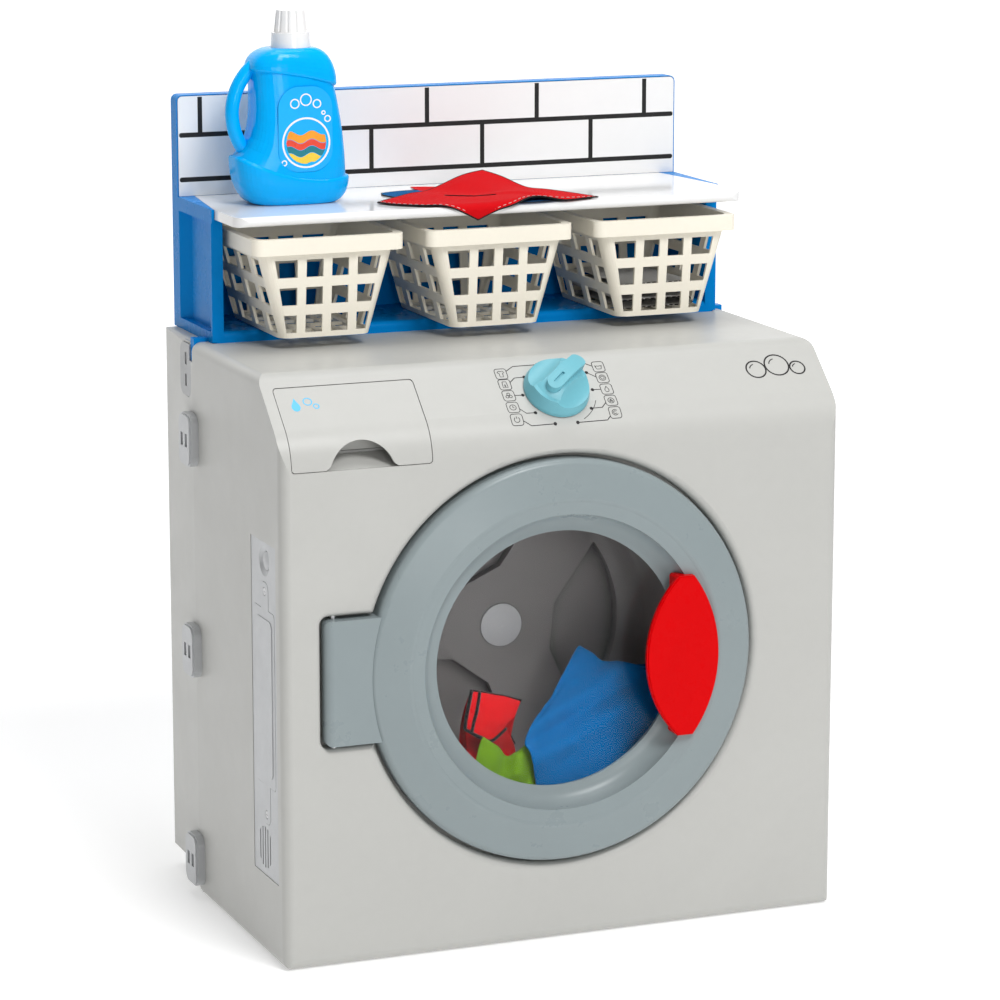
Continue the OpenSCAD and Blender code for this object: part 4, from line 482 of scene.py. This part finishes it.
# Lime cloth in front of it, with a small turned-over tip
lime = net_grid([
    [(-62, 28, -103), (-42, 28, -112), (-24, 28, -117), (-7, 28, -119)],
    [(-61, 31, -86), (-43, 31, -95), (-25, 31.5, -96), (-9, 35, -97)],
    [(-53, 37, -68), (-37, 38.5, -82), (-24, 38.5, -86), (-9, 41, -71)],
    [(-49, 46, -76), (-35, 48, -90), (-22, 48, -93), (-7, 50, -80)],
    [(-52, 56, -106), (-36, 57, -113), (-20, 57, -117), (-5, 57, -119)]], 40, 40)


def lime_fold(u, v, p):
    pleats = math.sin(u * 15.0 + 1.2) * math.sin(math.pi * min(1.0, v * 1.3))
    return 1.92 * pleats + wave(p, 0.11, 2.0)


lime = in_drum(folded(lime, lime_fold))
drum_lime = cloth_piece("drum_lime", lime, MATS["fabric_green"], "cabinet", 1.2)
lime_hem = tube_piece("drum_lime_hem", [edge_path(lime, "left"), edge_path(lime, "left", 2)], 0.5,
                      MATS["fabric_green"], "cabinet")


# Cloths on the shelf
ALL_EDGES = ("low", "high", "left", "right")


def over_edge(grid, lift):
    """Lets the part of a cloth in front of the shelf's round edge lie round it and hang down."""
    radius = SHELF_T / 2 + lift
    centre_y, centre_z = SHELF_FRONT + SHELF_T / 2, SHELF_Z - SHELF_T / 2
    for row in grid:
        for p in row:
            beyond = centre_y - p[1]
            if beyond <= 0:
                continue
            turn = min(beyond / radius, math.pi / 2)
            reach = radius + max(p[2] - (SHELF_Z + lift), 0)
            hang = max(0.0, beyond - radius * math.pi / 2)
            p[1] = centre_y - reach * math.sin(turn)
            p[2] = centre_z + reach * math.cos(turn) - hang
    return grid


def shelf_points(points):
    """From (x, depth, height above the shelf) to (x, depth, z)."""
    return [(x, y, SHELF_Z + h) for x, y, h in points]


tip_left, tip_front = (-88.5, 190, 1.5), (-17, 138, 1.4)
tip_right, tip_back = (92, 154, 1.6), (29, 254, 15.0)
red = patch_grid(
    shelf_points([tip_left, (-78, 172, 1.4), (-60, 157, 1.6), (-50, 153, 1.8), (-33, 146, 1.6), tip_front]),
    shelf_points([tip_back, (42, 244, 10.5), (56, 224, 3.2), (68, 206, 2.6), (80, 190, 1.6), tip_right]),
    shelf_points([tip_left, (-66, 212, 1.4), (-45, 231, 1.6), (-24, 240, 2.6), (8, 249, 12.0), tip_back]),
    shelf_points([tip_front, (0, 145, 1.8), (14, 148, 3.4), (36, 153, 5.0), (62, 150, 2.4), tip_right]),
    48, 48)


# The step of the pleat across the red cloth, and the points between which its seam shows
PLEAT_HEIGHT, PLEAT_X, PLEAT_Y, PLEAT_SLANT = 2.2, 18, 188, 0.75
SEAM_ROW, SEAM_COLUMN, SEAM_POINTS = 22, 14, 20
# The least height of the cloth's middle above the shelf, and that of the part that goes over its edge
RED_FLOOR, RED_LIFT = 1.3, 1.4


def red_fold(u, v, p):
    """How far the cloth stands up, against its normal, which points down."""
    edge = min(1.0, 7 * u, 7 * (1 - u), 7 * v, 7 * (1 - v))
    pleat = PLEAT_HEIGHT / (1 + math.exp(-((p[1] - PLEAT_Y) + PLEAT_SLANT * (p[0] - PLEAT_X)) / 1.6))
    band = math.exp(-((p[0] - 15) / 42.0) ** 4) * math.exp(-max(0.0, (p[1] - 190) / 30))
    return -edge * (pleat * band + 1.2 * wave(p, 0.04, 9.0) + 0.6)


red = folded(red, red_fold)
for row in red:
    for p in row:
        p[2] = max(p[2], SHELF_Z + RED_FLOOR)
red = over_edge(red, RED_LIFT)
shelf_cloth_red = cloth_piece("shelf_cloth_red", red, MATS["fabric_red"], "cabinet", 0.9)
red_edges = [edge_path(red, side) for side in ALL_EDGES]
shelf_cloth_binding = tube_piece("shelf_cloth_red_binding", red_edges, 0.75, BINDING, "cabinet")
seam = [red[SEAM_ROW + k // 3][SEAM_COLUMN + k] + Vector((0, -0.3, 0.75)) for k in range(SEAM_POINTS)]
stitches = []
for side in ("low", "right"):
    stitches += dashes([p + Vector((0, -0.1, 0.55)) for p in edge_path(red, side, 1)], 2.6, 2.4)
shelf_cloth_stitch = tube_piece("shelf_cloth_red_stitches", stitches, 0.28, MATS["thread_light"], "cabinet")
shelf_cloth_seam = tube_piece("shelf_cloth_red_seam", [seam], 0.5, BINDING, "cabinet")

corner = patch_grid(shelf_points([(-28, 276, 1.0), (-16, 273, 1.0), (0, 262, 1.2)]),
                    shelf_points([(-30, 246, 0.8), (-18, 244, 0.8), (-4, 247, 1.0)]),
                    shelf_points([(-28, 276, 1.0), (-29, 262, 1.0), (-30, 246, 0.8)]),
                    shelf_points([(0, 262, 1.2), (-2, 255, 1.1), (-4, 247, 1.0)]), 10, 12)
shelf_cloth_corner = cloth_piece("shelf_cloth_red_corner", corner, MATS["fabric_red"], "cabinet", 0.8)

blue = patch_grid(
    shelf_points([(-64, 248, 0.8), (-66, 232, 0.8), (-52, 200, 0.7), (-20, 168, 0.7), (12, 150, 0.7)]),
    shelf_points([(-22, 254, 0.8), (6, 236, 0.7), (30, 206, 0.7), (54, 180, 0.7), (74, 154, 0.8)]),
    shelf_points([(-64, 248, 0.8), (-44, 254, 1.0), (-22, 254, 0.8)]),
    shelf_points([(12, 150, 0.7), (30, 149.5, 0.8), (44, 150, 0.8), (58, 151.5, 0.8), (74, 154, 0.8)]),
    24, 40)
shelf_cloth_blue = cloth_piece("shelf_cloth_blue", blue, MATS["fabric_blue"], "cabinet", 0.6)
blue_edges = [edge_path(blue, side) for side in ALL_EDGES]
shelf_blue_binding = tube_piece("shelf_cloth_blue_binding", blue_edges, 0.5, BINDING, "cabinet")

# White cloth folded in layers in the right basket, with a dark stitched hem
LAYERS, LAYER_HALF, LAYER_RISE, LAYER_BOTTOM = 4, 31.0, 6.6, 2.2
LINEN_LENGTH, LINEN_STEPS, LINEN_UP = 102.0, 22, 3.2
profile = []
for k in range(LAYERS):
    start, end = (-LAYER_HALF, LAYER_HALF) if k % 2 == 0 else (LAYER_HALF, -LAYER_HALF)
    height = LAYER_BOTTOM + k * LAYER_RISE
    profile += [(start + (end - start) * t / 8, height) for t in range(9)]
    if k < LAYERS - 1:
        for a in [math.pi * t / 6 for t in range(1, 6)]:
            profile.append((end + math.copysign(LAYER_RISE / 2, end) * math.sin(a),
                            height + LAYER_RISE / 2 * (1 - math.cos(a))))
fold_grid = []
for y in [LINEN_LENGTH * (i / LINEN_STEPS - 0.5) for i in range(LINEN_STEPS + 1)]:
    fold_grid.append([Vector((BASKET_X + x + 1.1 * math.sin(0.05 * y + z), BASKET_Y + y,
                              BASKET_Z + LINEN_UP + z + 0.7 * noise.noise(Vector((x, y, z)) * 0.06)))
                      for x, z in profile])
basket_linen = cloth_piece("basket_linen", fold_grid, MATS["cloth_white"], "right_basket", 1.0)
front_edge = [p + Vector((0, -0.1, 0.0)) for p in fold_grid[0]]
linen_stitch = tube_piece("basket_linen_stitches", dashes(front_edge, 3.0, 2.0), 0.5, BINDING,
                          "right_basket")

# Each cloth: the size it was cut to, how it is held and by what, its trims, what it stands for, its finish
SHEETS = [
    (drum_towel, (0.135, 0.115), "draped", ["drum_pan"], [towel_hem], ["laundry_blue"], "fabric_blue"),
    (drum_garment, (0.130, 0.052), "draped", ["drum_pan"], [garment_binding], ["laundry_red"], "fabric_red"),
    (drum_lime, (0.070, 0.058), "draped", ["drum_pan"], [lime_hem], ["laundry_green"], "fabric_green"),
    (shelf_cloth_red, (0.125, 0.105), "laid", ["shelf_board"],
     [shelf_cloth_binding, shelf_cloth_stitch, shelf_cloth_seam], ["cloth_red"], "fabric_red"),
    (shelf_cloth_corner, (0.030, 0.022), "laid", ["shelf_board"], [], [], "fabric_red"),
    (shelf_cloth_blue, (0.130, 0.060), "laid", ["shelf_board"], [shelf_blue_binding], ["cloth_blue"],
     "fabric_blue"),
    (basket_linen, (0.270, 0.102), "folded", ["basket_right"], [linen_stitch], ["basket_cloth"],
     "cloth_white")]
for piece, flat, held, rests_on, extras, replaced, slot in SHEETS:
    if replaced:
        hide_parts(*replaced)

# ---------------------------------------------------------------- printed marks
SLOPE = math.atan2(PANEL_RISE, PANEL_RUN)
SLOPE_UP = Vector((0, math.cos(SLOPE), math.sin(SLOPE)))
SLOPE_OUT = Vector((0, -math.sin(SLOPE), math.cos(SLOPE)))
SLOPE_FOOT = Vector((0, PANEL_RUN, CABINET_TOP)) - SLOPE_UP * math.hypot(PANEL_RUN, PANEL_RISE)
# How far the ink stands off its surface, and from how far off that surface is looked for
INK_LIFT, SEARCH_FROM = 0.07, 40
TREES = {}


def node_tree(name):
    if name not in TREES:
        mesh = NODES[name].data
        TREES[name] = BVHTree.FromPolygons([v.co for v in mesh.vertices], [p.vertices for p in mesh.polygons])
    return TREES[name]


def on_slope(node):
    """A place on the sloped panel, (x, distance up the slope), laid on the node's own surface."""
    def put(p):
        start = row_frame(SLOPE_FOOT + Vector((p[0], 0, 0)) + SLOPE_UP * p[1] + SLOPE_OUT * SEARCH_FROM)
        hit, normal, _, _ = node_tree(node).ray_cast(start * MM, -SLOPE_OUT, 0.2)
        if hit is None:
            return start - SLOPE_OUT * SEARCH_FROM
        return hit / MM + INK_LIFT * normal
    return put


def on_label(p):
    """A place on the bottle's label, counted from its middle."""
    return row_frame(Vector((LABEL_X + p[0], LABEL_FRONT - INK_LIFT, LABEL_Z + p[1])))


def finer_path(points, step=1.6):
    """The same path with points at most about a step apart."""
    out = [Vector((*points[0], 0))]
    for a, b in zip(points, points[1:]):
        a, b = Vector((*a, 0)), Vector((*b, 0))
        parts = max(1, int((b - a).length / step))
        out += [a + (b - a) * (k + 1) / parts for k in range(parts)]
    return out


def ring_path(x, y, r, start=0, end=360, parts=28):
    turns = [math.radians(start + (end - start) * k / parts) for k in range(parts + 1)]
    return [(x + r * math.cos(a), y + r * math.sin(a)) for a in turns]


def box_path(x, y, w, h, r):
    out = []
    for cx, cy, a in ((1, 1, 0), (-1, 1, 90), (-1, -1, 180), (1, -1, 270)):
        out += ring_path(x + cx * (w / 2 - r), y + cy * (h / 2 - r), r, a, a + 90, 4)
    return out + [out[0]]


class Print:
    """Ink on a surface: lines of a given width, and filled shapes, all in one mesh."""

    def __init__(self, put):
        self.put, self.verts, self.faces = put, [], []

    def line(self, points, width):
        path = finer_path(points)
        start = len(self.verts)
        for k, p in enumerate(path):
            ahead = path[min(k + 1, len(path) - 1)] - path[max(k - 1, 0)]
            side = Vector((-ahead.y, ahead.x, 0)).normalized() * width / 2
            self.verts += [self.put(p + side), self.put(p - side)]
        for k in range(len(path) - 1):
            a = start + 2 * k
            self.faces.append((a, a + 1, a + 3, a + 2))

    def fill(self, outline):
        """A filled shape that can be seen whole from its middle."""
        middle = sum((Vector((*p, 0)) for p in outline), Vector()) / len(outline)
        start = len(self.verts)
        self.verts.append(self.put(middle))
        for share in (0.5, 1.0):
            self.verts += [self.put(middle.lerp(Vector((*p, 0)), share)) for p in outline]
        n = len(outline)
        for k in range(n):
            a, b = start + 1 + k, start + 1 + (k + 1) % n
            self.faces += [(start, a, b), (a, a + n, b + n, b)]

    def done(self, name, material, body, slot):
        obj = new_piece(name, self.verts, self.faces, material, body)
        return obj


# Around the dial: dots, leads from the dots to the pictograms, and the pictograms' strokes in a unit square
DOTS = [(-5.9, 66.4), (-20.5, 54.8), (-27.1, 37.0), (-21.8, 18.7), (-7.7, 7.7), (11.6, 7.4), (26.4, 19.0),
        (33.2, 37.4), (33.5, 55.0), (33.5, 65.0)]
LEADS = [[(-33.8, 62), (-27, 66.2), (-5.9, 66.4)], [(-33.8, 50.5), (-29, 54.6), (-20.5, 54.8)],
         [(-33.8, 37.2), (-27.1, 37.0)], [(-33.8, 23.5), (-29.5, 18.9), (-21.8, 18.7)],
         [(-33.8, 12), (-28, 7.5), (-7.7, 7.7)],
         [(40.3, 61), (33.5, 65)], [(40.3, 50), (33.5, 55)], [(40.3, 37.2), (33.2, 37.4)],
         [(40.3, 23.5), (36, 19.2), (26.4, 19.0)], [(40.3, 10.5), (37.5, 7.6), (11.6, 7.4)]]
ICONS = [
    [[(-.7, .4), (-.35, .7), (-.15, .6), (.15, .6), (.35, .7), (.7, .4), (.5, .15), (.35, .3), (.35, -.7),
      (-.35, -.7), (-.35, .3), (-.5, .15), (-.7, .4)]],
    [[(-.4, .7), (.4, .7), (.5, -.7), (.12, -.7), (0, .2), (-.12, -.7), (-.5, -.7), (-.4, .7)]],
    [ring_path(0, .36, .3), ring_path(-.33, -.2, .3), ring_path(.33, -.2, .3)],
    [ring_path(0, 0, .62), [(0, .4), (0, 0), (.28, -.16)]],
    [ring_path(0, -.05, .55, 120, 420), [(0, .15), (0, .7)]],
    [[(-.7, .35), (-.45, -.55), (.45, -.55), (.7, .35)],
     [(-.6, .1), (-.3, .22), (0, .1), (.3, .22), (.6, .1)]],
    [ring_path(0, 0, .66), ring_path(0, 0, .36)],
    [[(0, .7), (-.38, 0), (-.42, -.3), (-.2, -.62), (.2, -.62), (.42, -.3), (.38, 0), (0, .7)]],
    [ring_path(0, 0, .62), ring_path(0, .2, .12), ring_path(-.2, -.16, .12), ring_path(.2, -.16, .12)],
    [ring_path(0, 0, .6, 40, 330), ring_path(0, 0, .3, 40, 330)]]
ICON_PLACES = ([(-39, y) for y in (59.5, 48.6, 37.3, 25.5, 13.7)]
               + [(45.5, y) for y in (60.0, 48.7, 37.0, 25.4, 13.7)])
ICON_SCALE, ICON_WIDTH, ICON_HEIGHT = 4.2, 10.0, 10.3
panel = Print(on_slope("front_shell"))
for dot in DOTS:
    panel.fill(ring_path(*dot, 1.5, parts=14)[:-1])
for lead in LEADS:
    panel.line(lead, 0.7)
panel.line(ring_path(DIAL_X, DIAL_UP, 33.0, -62, -22), 0.5)
for (x, y), strokes in zip(ICON_PLACES, ICONS):
    panel.line(box_path(x, y, ICON_WIDTH, ICON_HEIGHT, 2.2), 0.6)
    for stroke in strokes:
        panel.line([(x + ICON_SCALE * p[0], y + ICON_SCALE * p[1]) for p in stroke], 0.55)

# Three bubbles with a highlight each at the panel's right end
for x, y, r in ((181, 46, 8.5), (200.5, 49, 10.5), (218, 45, 6.5)):
    panel.line(ring_path(x, y, r), 1.3)
    panel.line(ring_path(x, y, r * 0.62, 100, 165, 8), 0.9)
panel.done("panel_print", MATS["print_black"], "cabinet", "grout_black")

# A droplet with two bubbles on the drawer
DROPLET = [(0, 1), (-.35, .45), (-.75, -.05), (-.85, -.45), (-.55, -.85), (0, -1), (.55, -.85), (.85, -.45),
           (.75, -.05), (.35, .45)]
drawer_marks = Print(on_slope("drawer_front"))
drawer_marks.fill([(-216 + 4.4 * x, 43.5 + 6.6 * y) for x, y in DROPLET])
for x, y, r in ((-205.5, 46, 3.4), (-199.5, 41, 2.2)):
    drawer_marks.line(ring_path(x, y, r), 1.0)
drawer_marks.done("drawer_print", MATS["print_sky"], "drawer", "dial_aqua")

# The bottle's label: a round picture of wavy bands in a ring, with bubbles round it
PICTURE_X, PICTURE_Y, PICTURE_R, PICTURE_RING_R = 0.5, -11.0, 17.2, 20.0
label_ring = Print(on_label)
label_ring.line(ring_path(PICTURE_X, PICTURE_Y, PICTURE_RING_R, parts=48), 1.5)
LABEL_BUBBLES = [(-9, 21, 3.6), (0.5, 24, 4.6), (10, 20.5, 3.2), (-18.5, -27, 2.0), (19, 8, 2.4),
                 (15.5, 13, 1.4)]
for x, y, r in LABEL_BUBBLES:
    label_ring.line(ring_path(x, y, r), 1.0)
label_ring.done("bottle_label_print_white", MATS["print_white"], "bottle", "label_film")


def label_wave(low, high, ink, columns=36):
    """A wavy band across the label's round picture."""
    band = Print(on_label)
    rows = []
    for k in range(columns + 1):
        x = PICTURE_R * (2 * k / columns - 1)
        limit = math.sqrt(max(0.0, PICTURE_R ** 2 - x * x))
        swing = 1.8 * math.sin(x * 0.33)
        rows.append([Vector((x + PICTURE_X, PICTURE_Y + max(-limit, min(limit, edge + swing)), 0))
                     for edge in (low, high)])
    for a, b in zip(rows, rows[1:]):
        start = len(band.verts)
        band.verts += [band.put(p) for p in (a[0], b[0], b[1], a[1])]
        band.faces.append((start, start + 1, start + 2, start + 3))
    band.done("bottle_label_print_" + ink, MATS["print_" + ink], "bottle", "label_film")


label_wave(-17.5, -10.0, "yellow")
label_wave(-9.6, -4.6, "teal")
label_wave(-4.2, 1.0, "coral")
label_wave(1.4, 8.0, "orange")

# ---------------------------------------------------------------- floor, light and camera
FLOOR_GREY, FLOOR_ROUGH, FLOOR_GLOW = (0.80, 0.80, 0.80), 0.6, 0.34
GLOW_FROM, GLOW_TO = 0.8, 3.0


def floor_paper(name):
    """Pale paper that glows a little, and twice as much far behind the object."""
    s = Shader(name)
    place = s.node("ShaderNodeSeparateXYZ", {"Vector": s.coords})
    s.set(Base_Color=s.mix(s.noise(3.0, 3.0, 0.5), shade(FLOOR_GREY, 0.985), shade(FLOOR_GREY, 1.015)),
          Roughness=FLOOR_ROUGH, Specular_IOR_Level=0.1, Emission_Color=(1.0, 1.0, 1.0),
          Emission_Strength=s.remap(place.outputs["Y"], GLOW_FROM, GLOW_TO, FLOOR_GLOW, 2 * FLOOR_GLOW))
    return s.mat


# The floor's half width, front and back end, then the sweep up behind it and that sweep's top
FLOOR_HALF, FLOOR_FRONT, FLOOR_BACK = 8.0, -6.0, 3.0
SWEEP_R, SWEEP_TOP, SWEEP_STEPS = 2.0, 7.0, 12
side_line = [(FLOOR_FRONT, 0.0), (FLOOR_BACK, 0.0)]
for a in [math.pi / 2 * k / SWEEP_STEPS for k in range(1, SWEEP_STEPS + 1)]:
    side_line.append((FLOOR_BACK + SWEEP_R * math.sin(a), SWEEP_R * (1 - math.cos(a))))
side_line.append((FLOOR_BACK + SWEEP_R, SWEEP_TOP))
sweep = bmesh.new()
rows = [[sweep.verts.new((x, y, z)) for x in (-FLOOR_HALF, FLOOR_HALF)] for y, z in side_line]
for a, b in zip(rows, rows[1:]):
    sweep.faces.new((a[0], a[1], b[1], b[0])).smooth = True
floor_mesh = bpy.data.meshes.new("floor")
sweep.to_mesh(floor_mesh)
floor_mesh.materials.append(floor_paper("floor_paper"))
floor = bpy.data.objects.new("floor", floor_mesh)
bpy.context.scene.collection.objects.link(floor)

# Where the photograph was taken from: metres from the front face's foot, and turns in radians
CAMERA_X, CAMERA_DEPTH, CAMERA_Z = -1.189125, -2.786251, 1.000698
CAMERA_DOWN, CAMERA_ROLL, CAMERA_TURN = 0.207539, -0.000488, -0.385611
camera_data = bpy.data.cameras.new("camera")
camera_data.sensor_width = 36.0
camera_data.lens = 140.426
camera_data.clip_start = 0.1
camera_data.clip_end = 50.0
camera = bpy.data.objects.new("camera", camera_data)
camera.location = (CAMERA_X, CAMERA_DEPTH + FRONT_Y, CAMERA_Z)
camera.rotation_euler = (math.pi / 2 - CAMERA_DOWN, CAMERA_ROLL, CAMERA_TURN)
bpy.context.scene.collection.objects.link(camera)
bpy.context.scene.camera = camera

# Soft studio lights: place, the point each faces, its two sizes in metres and its power in watts
LIGHTS = {"key": ((0.35, -2.1, 2.8), (0, 0, 0.35), (1.1, 1.0), 58),
          "front": ((-0.1, -3.4, 0.9), (0, 0, 0.35), (1.2, 0.8), 16),
          "top": ((0.1, 0.1, 2.8), (0, 0, 0.5), (1.8, 1.4), 34)}
for name, (place, target, size, power) in LIGHTS.items():
    data = bpy.data.lights.new(name, "AREA")
    data.shape = "RECTANGLE"
    data.size, data.size_y = size
    data.energy = power
    light = bpy.data.objects.new(name, data)
    light.location = place
    light.rotation_euler = (Vector(target) - Vector(place)).to_track_quat("-Z", "Y").to_euler()
    bpy.context.scene.collection.objects.link(light)

WORLD_LIGHT = 0.22
world = bpy.context.scene.world or bpy.data.worlds.new("world")
bpy.context.scene.world = world
world.use_nodes = True
backdrop = world.node_tree.nodes["Background"]
backdrop.inputs["Color"].default_value = (1, 1, 1, 1)
backdrop.inputs["Strength"].default_value = WORLD_LIGHT

bpy.context.scene.view_settings.view_transform = "Standard"
bpy.context.view_layer.update()
